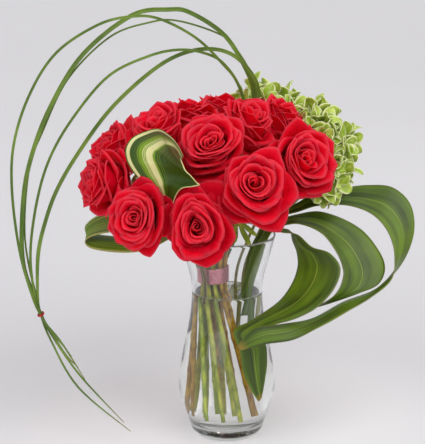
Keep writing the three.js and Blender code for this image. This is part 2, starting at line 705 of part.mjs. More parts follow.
function stemPath(rose, frame) {
  const [footX, footY] = bundlePlace(rose.slot, FOOT_SPREAD, FOOT_TURN);
  const [waistX, waistY] = bundlePlace(rose.slot, 1, 0);
  const [mouthX, mouthY] = bundlePlace(rose.slot, MOUTH_SPREAD, 0);
  const foot = new THREE.Vector3(FOOT_CENTRE[0] + footX, FOOT_CENTRE[1] + footY, rose.foot);
  const waist = new THREE.Vector3(WAIST[0] + waistX, WAIST[1] + waistY, WAIST[2]);
  const mouth = new THREE.Vector3(WAIST[0] + mouthX, WAIST[1] + mouthY, MOUTH_HEIGHT);
  const below = frame.base.clone().addScaledVector(frame.axis, -24);
  const hipFoot = frame.base.clone().addScaledVector(frame.axis, -8.5);
  return [foot, waist, mouth, ...smoothPath([mouth, below, hipFoot], 1).slice(1)];
}

// the stem, the star of sepals bent back from under the bloom, and the hip between them
function stemBody(rose, frame) {
  const path = stemPath(rose, frame);
  const rings = barRings(path, () => STEM_RADIUS, STEM_SIDES);
  const star = (lift) => Array.from({ length: 2 * STEM_SIDES }, (_, k) => {
    const [reach, height] = k % 2 === 0 ? SEPAL_TIP : SEPAL_NOTCH;
    return calyxPoint(frame, reach, Math.PI * k / STEM_SIDES, height + lift);
  });
  const hip = Array.from({ length: STEM_SIDES }, (_, k) => calyxPoint(frame, HIP_RADIUS,
    2 * Math.PI * k / STEM_SIDES, -0.6 * rose.size - CLEARANCE));
  rings.push(star(-CALYX_THICKNESS), star(0), hip);
  return skin(rings);
}

function calyxPoint(frame, reach, angle, height) {
  return frame.base.clone().addScaledVector(frame.first, reach * Math.cos(angle))
    .addScaledVector(frame.second, reach * Math.sin(angle)).addScaledVector(frame.axis, height);
}

// a closed skin through rings that may differ in their number of points
function skin(rings) {
  const points = [];
  const triangles = [];
  let below = null;
  for (const ring of rings) {
    const level = ring.map((p) => points.push(p) - 1);
    if (below) {
      triangles.push(...ringStrip(points, below, level, below.length === level.length));
    } else {
      for (let j = 1; j < level.length - 1; j += 1) {
        triangles.push([level[0], level[j + 1], level[j]]);
      }
    }
    below = level;
  }
  for (let j = 1; j < below.length - 1; j += 1) {
    triangles.push([below[0], below[j], below[j + 1]]);
  }
  return meshGeometry(points, triangles);
}

function stemHole(rose, frame) {
  const path = stemPath(rose, frame).slice(0, 3);
  path[0].z -= CLEARANCE;
  return bar(path, () => STEM_RADIUS + CLEARANCE / Math.cos(Math.PI / STEM_SIDES), STEM_SIDES);
}

// Strap leaves

// rows across the leaf from one edge to the other, slightly hollow along the midrib
function strapGrid(pairs, columns, steps, hollow, widen) {
  const near = smoothPath(pairs.map((pair) => vec(pair[0])), steps);
  const far = smoothPath(pairs.map((pair) => vec(pair[1])), steps);
  return near.map((a, i) => {
    const b = far[i];
    const next = Math.min(i + 1, near.length - 1);
    const last = Math.max(i - 1, 0);
    const along = near[next].clone().add(far[next]).sub(near[last]).sub(far[last]);
    const across = b.clone().sub(a);
    const width = across.length();
    const normal = across.clone().cross(along).normalize();
    across.normalize();
    const row = [];
    for (let j = 0; j <= columns; j += 1) {
      const s = j / columns;
      const sink = hollow * width * 4 * s * (1 - s);
      const reach = width * s + widen * (2 * s - 1);
      row.push(a.clone().addScaledVector(across, reach).addScaledVector(normal, sink));
    }
    return row;
  });
}

function strap(pairs, hollow) {
  return blade(strapGrid(pairs, 2, 1, hollow, 0), LEAF_THICKNESS);
}

// the room that a leaf's stalk takes in the water
function strapHole(pairs, hollow) {
  const low = pairs.slice(0, 3);
  const grid = strapGrid(low, 2, 1, hollow, CLEARANCE);
  const lower = (p, next) => p.clone().addScaledVector(next.clone().sub(p).normalize(), -CLEARANCE);
  const down = grid[0].map((p, j) => lower(p, grid[1][j]));
  return blade([down, ...grid.slice(1)], LEAF_THICKNESS + 3 * CLEARANCE);
}

// Grass

function grassBlade(grass) {
  const layered = (p, gap) => new THREE.Vector3(p[0], p[1] + gap * grass.layer, p[2]);
  const root = GRASS_ROOT.map((p, k) => layered(p, GRASS_LAYER_GAP * (k < 7 ? 1 : 2)));
  const tie = layered(GRASS_TIE, GRASS_LAYER_GAP);
  const points = [...root, ...grass.path.map(vec), tie, ...grass.tip.map(vec)];
  const tieAt = root.length + grass.path.length;
  const grid = points.map((p, i) => {
    const along = points[Math.min(i + 1, points.length - 1)].clone().sub(points[Math.max(i - 1, 0)]);
    const across = along.cross(new THREE.Vector3(0, 1, 0)).normalize();
    let width = i < tieAt - 1 ? grass.width : GRASS_TIE_WIDTH;
    width = i === points.length - 1 ? GRASS_TIP_WIDTH : width;
    return [-0.5, 0.5].map((s) => p.clone().addScaledVector(across, s * width));
  });
  return blade(grid, GRASS_THICKNESS);
}

// an oval band around the five blades
function grassTie() {
  const middle = vec(GRASS_TIE);
  const along = vec(GRASS[1].tip[0]).sub(vec(GRASS[1].path[GRASS[1].path.length - 1])).setY(0).normalize();
  const across = along.clone().cross(new THREE.Vector3(0, 1, 0));
  const reachAcross = GRASS_TIE_WIDTH / 2 + TIE_ROOM[0];
  const reachDeep = GRASS_LAYER_GAP * 2 + TIE_ROOM[1];
  const points = [];
  const triangles = [];
  for (let k = 0; k < TIE_SIDES; k += 1) {
    const angle = 2 * Math.PI * k / TIE_SIDES;
    const out = across.clone().multiplyScalar(Math.cos(angle)).add(new THREE.Vector3(0, Math.sin(angle), 0));
    const centre = middle.clone().addScaledVector(across, reachAcross * Math.cos(angle));
    centre.y += reachDeep * Math.sin(angle);
    for (let m = 0; m < TIE_SECTION; m += 1) {
      const tilt = 2 * Math.PI * m / TIE_SECTION;
      points.push(centre.clone().addScaledVector(out, TIE_RADIUS * Math.cos(tilt))
        .addScaledVector(along, TIE_RADIUS * Math.sin(tilt)));
    }
  }
  const at = (k, m) => k % TIE_SIDES * TIE_SECTION + m % TIE_SECTION;
  for (let k = 0; k < TIE_SIDES; k += 1) {
    for (let m = 0; m < TIE_SECTION; m += 1) {
      triangles.push([at(k, m), at(k, m + 1), at(k + 1, m + 1)]);
      triangles.push([at(k, m), at(k + 1, m + 1), at(k + 1, m)]);
    }
  }
  return meshGeometry(points, triangles);
}

// Sprigs

// rows of a leaf from its root to its tip, as shares of its length, half width and downward curl
const SPRIG_LEAF_ROWS = [[0, 0.22, 0], [0.62, 1, 0.02], [1, 0.42, -0.12]];

function sprigLeaf(root, direction, up, length, width) {
  const across = new THREE.Vector3().crossVectors(direction, up).normalize();
  const back = new THREE.Vector3().crossVectors(across, direction).normalize();
  const grid = SPRIG_LEAF_ROWS.map(([v, half, curl]) => [-1, 0, 1].map((s) => root.clone()
    .addScaledVector(direction, v * length).addScaledVector(back, curl * length + Math.abs(s) * half * 1.2)
    .addScaledVector(across, s * half * width / 2)));
  return blade(grid, SPRIG_LEAF_THICKNESS);
}

function sprig(entry) {
  const draw = new Draw(entry.seed);
  const path = entry.stalk.map(vec);
  const axis = vec(entry.aim).normalize();
  const tip = path[path.length - 1].clone();
  path.push(tip.clone().addScaledVector(axis, SPRIG_WHORL_HEIGHT));
  const parts = [bar(path, () => SPRIG_STALK_RADIUS, STEM_SIDES)];
  const first = new THREE.Vector3(0, 1, 0).cross(axis).normalize();
  const second = new THREE.Vector3().crossVectors(axis, first);
  for (let k = 0; k < SPRIG_LEAVES; k += 1) {
    const angle = k * radians(137.5) + draw.spread(0.2);
    const inner = k / (SPRIG_LEAVES - 1);
    const lean = radians(74 - 52 * inner + draw.spread(6));
    const out = first.clone().multiplyScalar(Math.cos(angle)).addScaledVector(second, Math.sin(angle));
    const direction = axis.clone().multiplyScalar(Math.cos(lean)).addScaledVector(out, Math.sin(lean));
    const root = tip.clone().addScaledVector(axis, SPRIG_WHORL_HEIGHT * inner);
    const length = SPRIG_LEAF_LENGTH * (1 - 0.2 * inner + draw.spread(0.08));
    parts.push(sprigLeaf(root, direction, axis, length, SPRIG_LEAF_WIDTH * (1 + draw.spread(0.1))));
  }
  return joined(parts);
}

function sprigHole(entry) {
  const path = entry.stalk.slice(0, 3).map(vec);
  path[0].z -= CLEARANCE;
  return bar(path, () => SPRIG_STALK_RADIUS + CLEARANCE / Math.cos(Math.PI / STEM_SIDES), STEM_SIDES);
}

// Wire around the bundle

function wireWrap() {
  const outside = [];
  for (let k = 0; k < WRAP_TURNS; k += 1) {
    const z = WRAP_BOTTOM + k * WRAP_PITCH;
    outside.push([WRAP_INNER + WRAP_DEPTH * 0.5, z]);
    outside.push([WRAP_INNER + WRAP_DEPTH, z + WRAP_PITCH / 2]);
  }
  const top = WRAP_BOTTOM + WRAP_TURNS * WRAP_PITCH;
  const profile = [[WRAP_INNER, WRAP_BOTTOM], ...outside, [WRAP_INNER + WRAP_DEPTH * 0.5, top],
    [WRAP_INNER, top], [WRAP_INNER, WRAP_BOTTOM]];
  const geometry = turned(profile, 16);
  geometry.translate(WAIST[0], WAIST[1], 0);
  return geometry;
}

// Assembly

const group = new THREE.Group();
group.name = 'rose_vase';

function add(name, geometry, color, roughness) {
  const material = new THREE.MeshStandardMaterial({ color, roughness, metalness: 0 });
  const clean = fromSolid(solid(geometry));
  const mesh = new THREE.Mesh(clean, material);
  mesh.name = name;
  group.add(mesh);
}

const GLASS = 0xe4ecee;
const WATER = 0xdfe9e4;
const RED = 0xc8102a;
const STEM_GREEN = 0x7d8a36;
const LEAF_GREEN = 0x4a7420;
const STRIPED_GREEN = 0x55802e;
const GRASS_GREEN = 0x648f36;
const SPRIG_GREEN = 0x9dbb5a;
const WIRE_PINK = 0xd98898;
const TIE_RED = 0xb01828;

const two = (n) => String(n).padStart(2, '0');
const frames = ROSES.map(bloomFrame);
const blooms = ROSES.map((rose, i) => ({
  size: rose.size,
  centre: frames[i].base.clone().addScaledVector(frames[i].axis, BLOOM_HEIGHT * rose.size * 0.55),
  ...bloomPoints(rose),
}));
squeezeApart(blooms);

const straps = [
  ['aspidistra_loop_outer', OUTER_LOOP, LEAF_HOLLOW, LEAF_GREEN],
  ['aspidistra_loop_middle', MIDDLE_LOOP, LEAF_HOLLOW, LEAF_GREEN],
  ['aspidistra_loop_inner', INNER_LOOP, LEAF_HOLLOW, LEAF_GREEN],
  ['striped_loop_left', LEFT_LOOP, LEAF_HOLLOW, STRIPED_GREEN],
  ['striped_loop_front', FRONT_LOOP, FRONT_CROWN, STRIPED_GREEN],
];

let water = waterBody();
ROSES.forEach((rose, i) => {
  water = water.subtract(solid(stemHole(rose, frames[i])));
});
for (const [, pairs, hollow] of straps) {
  water = water.subtract(solid(strapHole(pairs, hollow)));
}
for (const entry of SPRIGS) {
  water = water.subtract(solid(sprigHole(entry)));
}

add('vase', turned(vaseProfile, VASE_SIDES), GLASS, 0.05);
add('water', fromSolid(water), WATER, 0.05);
add('wire_wrap', wireWrap(), WIRE_PINK, 0.4);
blooms.forEach((bloom, i) => add(`rose_bloom_${two(i + 1)}`, bloomBody(bloom), RED, 0.6));
ROSES.forEach((rose, i) => add(`rose_stem_${two(i + 1)}`, stemBody(rose, frames[i]), STEM_GREEN, 0.6));
straps.forEach(([name, pairs, hollow, color]) => add(name, strap(pairs, hollow), color, 0.4));
GRASS.forEach((grass, i) => add(`grass_blade_${two(i + 1)}`, grassBlade(grass), GRASS_GREEN, 0.5));
add('grass_tie', grassTie(), TIE_RED, 0.4);
SPRIGS.forEach((entry, i) => add(`pittosporum_sprig_${two(i + 1)}`, sprig(entry), SPRIG_GREEN, 0.5));

export default group;
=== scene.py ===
import math
from itertools import permutations

import bpy
import numpy as np
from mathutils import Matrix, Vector


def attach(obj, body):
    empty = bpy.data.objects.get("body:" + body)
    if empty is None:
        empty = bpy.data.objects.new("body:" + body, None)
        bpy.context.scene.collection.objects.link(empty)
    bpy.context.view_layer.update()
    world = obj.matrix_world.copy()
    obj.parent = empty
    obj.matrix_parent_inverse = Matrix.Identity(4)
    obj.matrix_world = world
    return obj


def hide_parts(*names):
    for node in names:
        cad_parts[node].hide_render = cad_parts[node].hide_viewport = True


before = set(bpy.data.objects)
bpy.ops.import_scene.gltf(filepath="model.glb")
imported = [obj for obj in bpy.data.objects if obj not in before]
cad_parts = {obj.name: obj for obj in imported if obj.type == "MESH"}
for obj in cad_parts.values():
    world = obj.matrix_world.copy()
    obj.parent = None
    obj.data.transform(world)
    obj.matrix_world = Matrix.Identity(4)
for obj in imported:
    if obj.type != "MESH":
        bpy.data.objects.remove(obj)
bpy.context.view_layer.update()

MM = 0.001
GOLDEN_ANGLE = math.radians(137.5)
# span of a random phase
PHASE = 6.28
# cubic spline through its points: rows for four points, columns for powers of the share between two
THROUGH_POINTS = np.array([[0, -0.5, 1, -0.5], [1, 0, -2.5, 1.5], [0, 0.5, 2, -1.5], [0, 0, -0.5, 0.5]])

# Vase and water

VASE_SIDES = 96
VASE_STEPS = 6
VASE_UNDERSIDE = [(0, 0.6), (12, 0.6), (22, 0.15), (24, 0), (29.5, 0.5)]
VASE_OUTSIDE = [
    (31, 1.5), (35, 6), (38.7, 18), (45.2, 38), (47.3, 48), (46.6, 63),
    (42.7, 88), (37.4, 114), (34.5, 140), (35.5, 160), (41.8, 184), (47, 203),
]
VASE_RIM = (46.1, 203.8)
VASE_LIP = [(46.9, 203.5), (46.5, 203.75), VASE_RIM, (45.6, 203.7), (45.3, 203.4)]
VASE_INSIDE = [
    (45.2, 203), (39.6, 184), (33.1, 160), (32.1, 140), (35.0, 114), (40.3, 88),
    (44.1, 63), (44.7, 48), (42.3, 38), (35, 20), (27, 13),
]
VASE_WELL = [(18, 12.2), (9, 11.6), (0, 11.4)]
# whitish rings of painted highlight on the glass rim and at the water line: how far below or inside,
# radius of the bar
RIM_HIGHLIGHT = (0.55, 0.75)
LINE_HIGHLIGHT = (0.5, 0.4)
WATER_LEVEL = 146
WATER_INTO_GLASS = 0.25
WATER_BOTTOM = [(0, 11.2), (9, 11.4), (18, 12.0)]
WATER_CLIMB = 0.1
WATER_CURVE = 2.2

# Tied bundle

WAIST = (-13.7, 0, 165)
FOOT_CENTRE = (-4, -2)
FOOT_SPREAD = 2.55
FOOT_TURN = 40
MOUTH_SPREAD = 1.5
MOUTH_HEIGHT = 200
STEM_RADIUS = 2.1
# straight part of a stem under its bloom, and where its hip begins and is full
NECK_LENGTH = 24
HIP_BELOW = 8.5
HIP_LENGTH = 9
HIP_RADIUS = 4.6
# knots on a stem: where the first is, the gaps between them, and their swelling
KNOT_FIRST = (30, 12)
KNOT_GAP = (34, 16)
KNOT_SWELL = 0.55
KNOT_LENGTH = 2.6
# how brown a stem is: these few, and the most for the others
BROWN_STEMS = (2, 5, 7, 8, 11, 14)
BROWN_TONE = 0.85
GREEN_TONE = 0.35
SEPALS = 5
SEPAL_REACH = 14
SEPAL_ROOT = 3.2
SEPAL_DROP = 9
SEPAL_HALF_WIDTH = 2.6
SEPAL_THICKNESS = 0.5
# two strands of wire round the bundle
WRAP_RADIUS = 14.85
WRAP_BOTTOM = 156
WRAP_TOP = 172.8
WRAP_TURNS = 6
WRAP_STRANDS = 2
WRAP_WOBBLE = 0.28
WRAP_WIRE_RADIUS = 0.72

# Roses: face, aim, size, seed, slot in the bundle (radius, angle), height of the stem's foot

ROSES = [
    ((-29, -108, 239), (-0.05, -0.97, 0.18), 1.06, 1, (10.2, 268), 21),
    ((24, -97, 279), (0.08, -0.87, 0.48), 1.12, 2, (10.2, 305), 24),
    ((-87, -93, 244), (-0.34, -0.9, 0.28), 0.92, 3, (10.2, 232), 22),
    ((-15, -64, 309), (-0.03, -0.8, 0.58), 1.08, 4, (5.1, 280), 26),
    ((27, -8, 324), (0.4, -0.36, 0.84), 1.06, 5, (0, 0), 28),
    ((63, 45, 316), (0.55, -0.1, 0.83), 0.94, 6, (5.1, 50), 31),
    ((76, -46, 289), (0.5, -0.78, 0.37), 1.04, 7, (10.2, 350), 21),
    ((87, 18, 293), (0.8, -0.2, 0.55), 0.62, 8, (5.1, 355), 34),
    ((-68, -26, 323), (-0.35, -0.35, 0.87), 0.95, 9, (5.1, 215), 29),
    ((-35, 28, 327), (-0.1, 0.05, 1), 0.96, 10, (5.1, 160), 22),
    ((-119, 20, 290), (-0.75, -0.2, 0.6), 0.95, 11, (10.2, 160), 23),
    ((-131, -30, 262), (-0.9, -0.35, 0.1), 0.98, 12, (10.2, 198), 22),
    ((-4, 66, 324), (0, 0.22, 0.97), 0.94, 13, (5.1, 105), 26),
    ((-78, 88, 284), (-0.5, 0.75, 0.43), 0.95, 14, (10.2, 125), 21),
    ((-14, 112, 266), (0, 0.9, 0.4), 0.96, 15, (10.2, 88), 24),
    ((50, 98, 276), (0.4, 0.75, 0.5), 0.95, 16, (10.2, 45), 22),
]
BLOOM_HEIGHT = 44
# share of the height where a bloom is thickest, and what stays free between two blooms
BLOOM_MIDDLE = 0.55
BLOOM_GAP = 0.6
SQUEEZE_ROUNDS = 3
DEPTH_KEYS = [0, 0.25, 0.5, 0.75, 1]
LENGTH_KEYS = [0, 0.28, 0.62, 0.86, 1]
PETAL_LEAN = [
    [82, 46, 27, 56, 138],
    [78, 36, 12, 28, 108],
    [72, 24, 3, 8, 80],
    [62, 13, -9, -7, 28],
    [40, 4, -8, -8, 5],
]
PETAL_LENGTH = [50, 51, 50, 47, 42]
PETAL_HALF_WIDTH = [29, 27, 22, 15, 8]
PETAL_BASE_RADIUS = [3.5, 3, 2.5, 2, 1]
PETAL_BASE_HEIGHT = [0, 1.5, 3, 4.5, 6]
# how much of a petal's two random tilts reaches each length key
PETAL_NOD = [0, 1, 1, 1.5, 3]
PETAL_SWAY = [0, 1, 1.3, 0.5, 0]
PETAL_TILT = 5
# share of the length where a petal is widest
PETAL_BROAD = 0.62
# whorls that the solids have: depth, offset, petals
MAIN_WHORLS = [(0.03, 0, 5), (0.34, 36, 5), (0.6, 10, 3)]
# whorls added between and inside them: depth, offset, petals
ADDED_WHORLS = [(0.27, 14, 4), (0.46, 70, 5), (0.68, 40, 4), (0.75, 75, 3)]
# drooping petals outside the whorls: their turns round the blooms that show them best, in degrees
GUARD_TURNS = {
    1: (80, 40, 5, 165), 2: (-58, 205, 150), 3: (-70, 50, 95, 130), 4: (-95, -60, -130),
    7: (172, -50, 80), 12: (-120, -60, 0, 30),
}
GUARD_DROOP = [4, 22, 34, 22, -10]
GUARD_LENGTH = 0.86
# long outer petals that close the spaces between the front blooms: turn, length
REACHING_PETALS = {
    1: ((60, 0.86), (102, 0.78), (168, 0.68)), 2: ((196, 0.78), (222, 0.7)),
    3: ((94, 0.78), (8, 0.76)), 4: ((-85, 0.85),), 11: ((-55, 0.9),),
}
HEART_PETALS = 6
HEART_SINK = 5.5
PETAL_COLUMNS = 14
PETAL_ROWS = 14
PETAL_STEPS = 50
PETAL_THICKNESS = 0.4

# small leaves that hang from one stem over the vase's mouth: direction, length, width
LEAFLET_STEM = 2
LEAFLET_FROM_TOP = 44
LEAFLETS = [((0.42, -0.05, -0.9), 32, 4.6), ((-0.06, 0.1, -1), 27, 4.2), ((0.7, 0.1, -0.7), 28, 4)]
LEAFLET_THICKNESS = 0.5

# Strap leaves as pairs of opposite edge points (six numbers), from the stalk in the vase to the tip

OUTER_LOOP = [
    (18, 6, 106, 14, 6, 106), (21, 7, 150, 16, 7, 150), (31, 10, 190, 24, 9, 190),
    (43, 12, 213, 46, 16, 218), (70, 14, 222, 69, 22, 229), (89, 18, 227, 91, 34, 239),
    (114, 18, 228, 116, 40, 240), (135, 12, 223, 139, 40, 242), (149, 4, 214, 163, 34, 241),
    (158, -6, 201, 180, 24, 226), (161, -18, 186, 182, 10, 201), (156, -36, 168, 168, -4, 173),
    (135, -50, 153, 144, -16, 152), (111, -64, 144, 110, -32, 144), (87, -74, 133, 79, -54, 134),
    (62, -80, 122, 50, -70, 134), (35, -81, 118, 25, -75, 132), (12, -76, 110, 9, -73, 113),
]
MIDDLE_LOOP = [
    (15, 0, 122, 10, 0, 122), (20, 0, 140, 13, 0, 140), (28, -1, 165, 18, -2, 165),
    (37, -2, 190, 26, -3, 190), (42, -3, 209, 44, 3, 214), (54, -1, 212, 53, 7, 217),
    (70, -3, 214, 69, 15, 219), (91, -10, 206, 91, 20, 220), (105, -18, 190, 118, 16, 212),
    (111, -26, 176, 137, 6, 200), (110, -32, 166, 152, -8, 177), (104, -40, 156, 147, -20, 160),
    (94, -46, 149, 126, -30, 152), (79, -50, 142, 98, -40, 145), (68, -52, 139, 76, -46, 141),
]
INNER_LOOP = [
    (23, -11, 118, 18, -12, 118), (24, -12, 150, 19, -13, 150), (33, -12, 182, 27, -14, 182),
    (42, -11, 207, 43, -6, 211), (55, -9, 207, 54, -1, 209), (68, -14, 206, 61, 1, 206),
    (81, -26, 197, 63, -3, 197), (97, -36, 194, 67, -9, 187), (107, -46, 182, 68, -16, 175),
    (101, -54, 164, 63, -24, 161), (85, -60, 148, 52, -31, 147), (64, -61, 137, 36, -39, 137),
    (42, -62, 130, 20, -45, 128), (22, -60, 117, 6.5, -51, 121), (35, -54, 113, 12, -56, 102),
    (38, -54, 93, 15, -54, 82), (36, -53, 72, 22, -53, 64), (33, -52, 54, 30, -52, 50),
]
LEFT_LOOP = [
    (-24, 14, 140, -19, 16, 140), (-30, 9, 165, -26.5, 13, 165), (-36, 2, 188, -34, 8, 190),
    (-44.5, -3, 207, -44.5, 5, 210), (-58, -12, 200, -59, 3, 203), (-75, -20, 193, -76, 5, 196),
    (-95, -18, 190, -100, 12, 197), (-120, -16, 191, -123, 16, 198), (-134, -14, 194, -137, 18, 200),
    (-137, -12, 200, -139, 19, 206), (-129, -11, 205, -132, 22, 213), (-115, -12, 208, -119, 27, 218),
    (-100, -12, 209, -103, 27, 218), (-86, -5, 212, -88, 18, 217),
]
FRONT_LOOP = [
    (-19, -19, 138, -23, -17, 138), (-20, -21, 165, -24, -18, 165), (-26, -25, 192, -30, -22, 192),
    (-30, -29, 211, -34, -26, 210), (-41, -48, 231, -46, -46, 229), (-51, -66, 246, -58, -58, 247),
    (-44, -77, 266, -69, -60, 260), (-32, -85, 271, -79, -58, 268), (-26, -88, 273, -88, -57, 278),
    (-28, -91, 275, -94, -56, 289), (-31, -93, 279, -95, -56, 300), (-35, -94, 284, -89, -55, 310),
    (-39, -92, 288, -77, -54, 316), (-41, -88, 292, -64, -56, 319), (-43, -81, 296, -53, -60, 313),
    (-44, -74, 295, -46, -64, 305), (-43, -73, 288, -41, -68, 296),
]
# stripes of the front leaf: from, to, softness, tone, as shares of its width
BANDS = [
    (0.595, 0.6, 0.006, "bright"), (0.625, 0.63, 0.006, "bright"), (0.66, 0.86, 0.012, "bright"),
    (0.69, 0.775, 0.008, "cream"), (0.788, 0.794, 0.004, "cream"), (0.806, 0.814, 0.004, "cream"),
    (0.868, 0.876, 0.006, "bright"), (0.95, 0.985, 0.006, "cream"),
]
STRAP_STEPS = 9
STRAP_COLUMNS = 16
STRAP_THICKNESS = 0.8
STRAP_RIPPLE = 0.5
STRAP_HOLLOW = 0.05
FRONT_CROWN = 0.16

# Grass: layer, width, tip behind the tie, path before it

GRASS_TIE = (-181.5, -10, 125)
GRASS_ROOT = [
    [-3, 16, 154], [-3, 16, 168], [7, 13.5, 195], [7.5, 14.5, 213],
    [5.5, 15, 225], [12, 22, 240], [18, 29, 257], [24, 38, 285],
]
GRASS_LAYER_GAP = 1.35
GRASS_SLIM = 0.84
GRASS_TAIL_WIDTH = 1.9
GRASS_TIE_WIDTH = 2.4
GRASS_TIP_WIDTH = 0.5
GRASS_STEPS = 8
GRASS_COLUMNS = 7
GRASS_KEEL = 0.22
GRASS_THICKNESS = 0.6
GRASS = [
    (-2, 3, [[-175, -17, 116], [-160, -32, 103], [-137, -45, 70]],
     [[12, 28, 341], [-6, 20, 368], [-31, 14, 393], [-64, 9, 411], [-89, 5, 414], [-121, 1, 407],
      [-161, -2, 381], [-187, -6, 342], [-203, -9, 295], [-206, -11, 248], [-200, -13, 189],
      [-189, -12.8, 144]]),
    (1, 5, [[-170, -10, 101], [-143, -19, 64], [-101, -29, 20]],
     [[26, 46, 330], [20, 40, 354], [-2, 34, 391], [-35, 29, 414], [-56, 23, 418], [-91, 18, 413],
      [-138, 13, 376], [-170, 8, 325], [-189, 3, 276], [-197, -1, 233], [-198, -5, 177],
      [-186, -8.6, 139]]),
    (2, 2, [[-177, -4, 113], [-165, -8, 98], [-152, -14, 83]],
     [[28, 52, 333], [22, 47, 355], [4, 42, 383], [-14, 38, 395], [-49, 33, 406], [-74, 28, 405],
      [-112, 22, 392], [-152, 16, 353], [-177, 11, 303], [-191, 6, 265], [-196, 0, 198],
      [-185, -7, 138]]),
    (-1, 3, [[-171, -15, 108], [-157, -28, 90], [-144, -38, 80]],
     [[14, 34, 336], [-3, 26, 365], [-22, 18, 377], [-46, 13, 381], [-74, 8, 376], [-112, 4, 358],
      [-144, 0, 322], [-168, -4, 283], [-182, -7, 241], [-190, -10, 188], [-187, -11.3, 145]]),
    (0, 4.4, [[-172, -13, 99], [-145, -26, 55], [-94, -38, 14]],
     [[30, 40, 331], [25, 35, 352], [6, 29, 373], [-18, 25, 380], [-46, 20, 375], [-75, 15, 358],
      [-112, 10, 324], [-142, 5, 284], [-163, 1, 249], [-175, -4, 218], [-183, -7, 184],
      [-184, -10, 142]]),
]

# Tie round the grass

TIE_TURNS = 3
TIE_REACH = (3.1, 4.8)
TIE_HALF_LENGTH = 0.85
TIE_WIRE_RADIUS = 0.42

# Sprigs: stalk, aim of the whorl, seed

SPRIG_LEAVES = 9
SPRIG_EXTRA_LEAVES = 9
SHOOT_LEAVES = 10
SIDE_SHOOTS = 8
SPRIG_LEAF_LENGTH = 25
SPRIG_LEAF_WIDTH = 14
SPRIG_LEAF_BROAD = 0.62
SPRIG_LEAF_ROWS = [0, 0.2, 0.4, 0.56, 0.7, 0.8, 0.88, 0.95, 1.0]
SPRIG_LEAF_COLUMNS = 7
SPRIG_LEAF_THICKNESS = 0.6
SPRIG_WHORL_HEIGHT = 22
SPRIG_STALK_RADIUS = 1.4
# degrees from the axis: the outermost leaf, how much less the innermost, random part
WHORL_LEAN = (74, 52, 6)
SHOOT_LEAN = (68, 48, 8)
STALK_LEAN = (58, 9)
SHOOT_TURN = (60, 14)
SHOOT_LENGTH = 10
SHOOT_RADIUS = 0.9
SPRIGS = [
    ([[-3, 20, 100], [-4, 22, 165], [0, 32, 205], [8, 52, 240], [19, 73, 282], [29, 84, 306]],
     (-0.1, 0.1, 1), 31),
    ([[7, 14, 104], [9, 12, 165], [26, 24, 205], [56, 40, 250], [72, 71, 282], [62, 93, 296]],
     (-0.1, 0.3, 0.95), 32),
    ([[14, 14, 98], [16, 13, 165], [36, 22, 210], [80, 52, 262], [86, 66, 289]],
     (0.05, 0.3, 0.97), 33),
    ([[19, 12, 104], [22, 11, 165], [40, 17.5, 212], [80, 36, 255], [99, 43, 275]],
     (0.66, 0.2, 0.72), 34),
    ([[21, 5, 96], [24, 3.5, 165], [44, 8, 214], [74, 14, 239], [90, 16, 256]],
     (0.92, -0.04, 0.3), 35),
]

# Camera: the photograph's viewing angle

CAMERA_ELEVATION = 14.7
CAMERA_DISTANCE = 1.731
CAMERA_TARGET = (-0.0142, 0, 0.2152)
IMAGE_HEIGHT = 444
FOCAL_PIXELS = 1790
SENSOR = 24
CLIP_END = 60

# Stage

FLOOR_REACH = 12
LIGHT_TARGET = (0, 0, 0.2)
WORLD_TINT = (0.95, 0.95, 0.97, 1)
# the world's strength at the horizon and overhead, and the height where it is full
WORLD_LOW = 0.36
WORLD_HIGH = 0.62
WORLD_RISE = 0.75
# soft lights: place (of a sun only its direction from the target counts) and settings
LIGHTS = {
    "key": ("SUN", (0.6, -0.8, 1.4),
            {"angle": math.radians(55), "energy": 1.5, "color": (1, 0.99, 0.975)}),
    "fill": ("SUN", (-0.6, -1.0, 0.55),
             {"angle": math.radians(60), "energy": 0.75, "color": (0.97, 0.985, 1)}),
    "back": ("AREA", (0.5, 1.1, 1.1), {"shape": "DISK", "size": 0.7, "energy": 1.5}),
}


class Draw:
    """A small seeded generator."""

    def __init__(self, seed):
        self.state = seed * 7919 % 2147483647
        for _ in range(4):
            self.next()

    def next(self):
        self.state = self.state * 16807 % 2147483647
        return self.state / 2147483647

    def spread(self, size):
        return (2 * self.next() - 1) * size


def unit(v):
    """The vector, or each vector of an array, at length 1."""
    return v / np.maximum(np.linalg.norm(v, axis=-1, keepdims=True), 1e-9)


def smooth_step(low, high, x):
    s = np.clip((x - low) / (high - low), 0, 1)
    return s * s * (3 - 2 * s)


def smooth_path(points, steps):
    """A smooth curve through the points, with so many steps between each two."""
    p = np.asarray(points, float)
    padded = np.vstack([p[0], p, p[-1]])
    s = np.arange(steps) / steps
    weights = (THROUGH_POINTS @ [s ** 0, s, s ** 2, s ** 3]).T
    return np.vstack([weights @ padded[i:i + 4] for i in range(len(p) - 1)] + [p[-1:]])


def round_axis(radius, angle, height):
    """Points round the z axis; each argument is a number or an array."""
    return np.stack(np.broadcast_arrays(radius * np.cos(angle), radius * np.sin(angle), height), -1)


def lengths_along(points):
    steps = np.linalg.norm(np.diff(points, axis=0), axis=1)
    return np.concatenate([[0], np.cumsum(steps)])


def rounded(points, spacing, window):
    """The polyline at an even spacing, with its corners rounded over a window of samples."""
    p = np.asarray(points, float)
    at = lengths_along(p)
    count = max(int(at[-1] / spacing), 4)
    places = np.linspace(0, at[-1], count + 1)
    fine = np.stack([np.interp(places, at, p[:, k]) for k in range(3)], 1)
    reaches = [min(window, i, count - i) for i in range(count + 1)]
    return np.array([fine[i - k:i + k + 1].mean(0) for i, k in enumerate(reaches)])


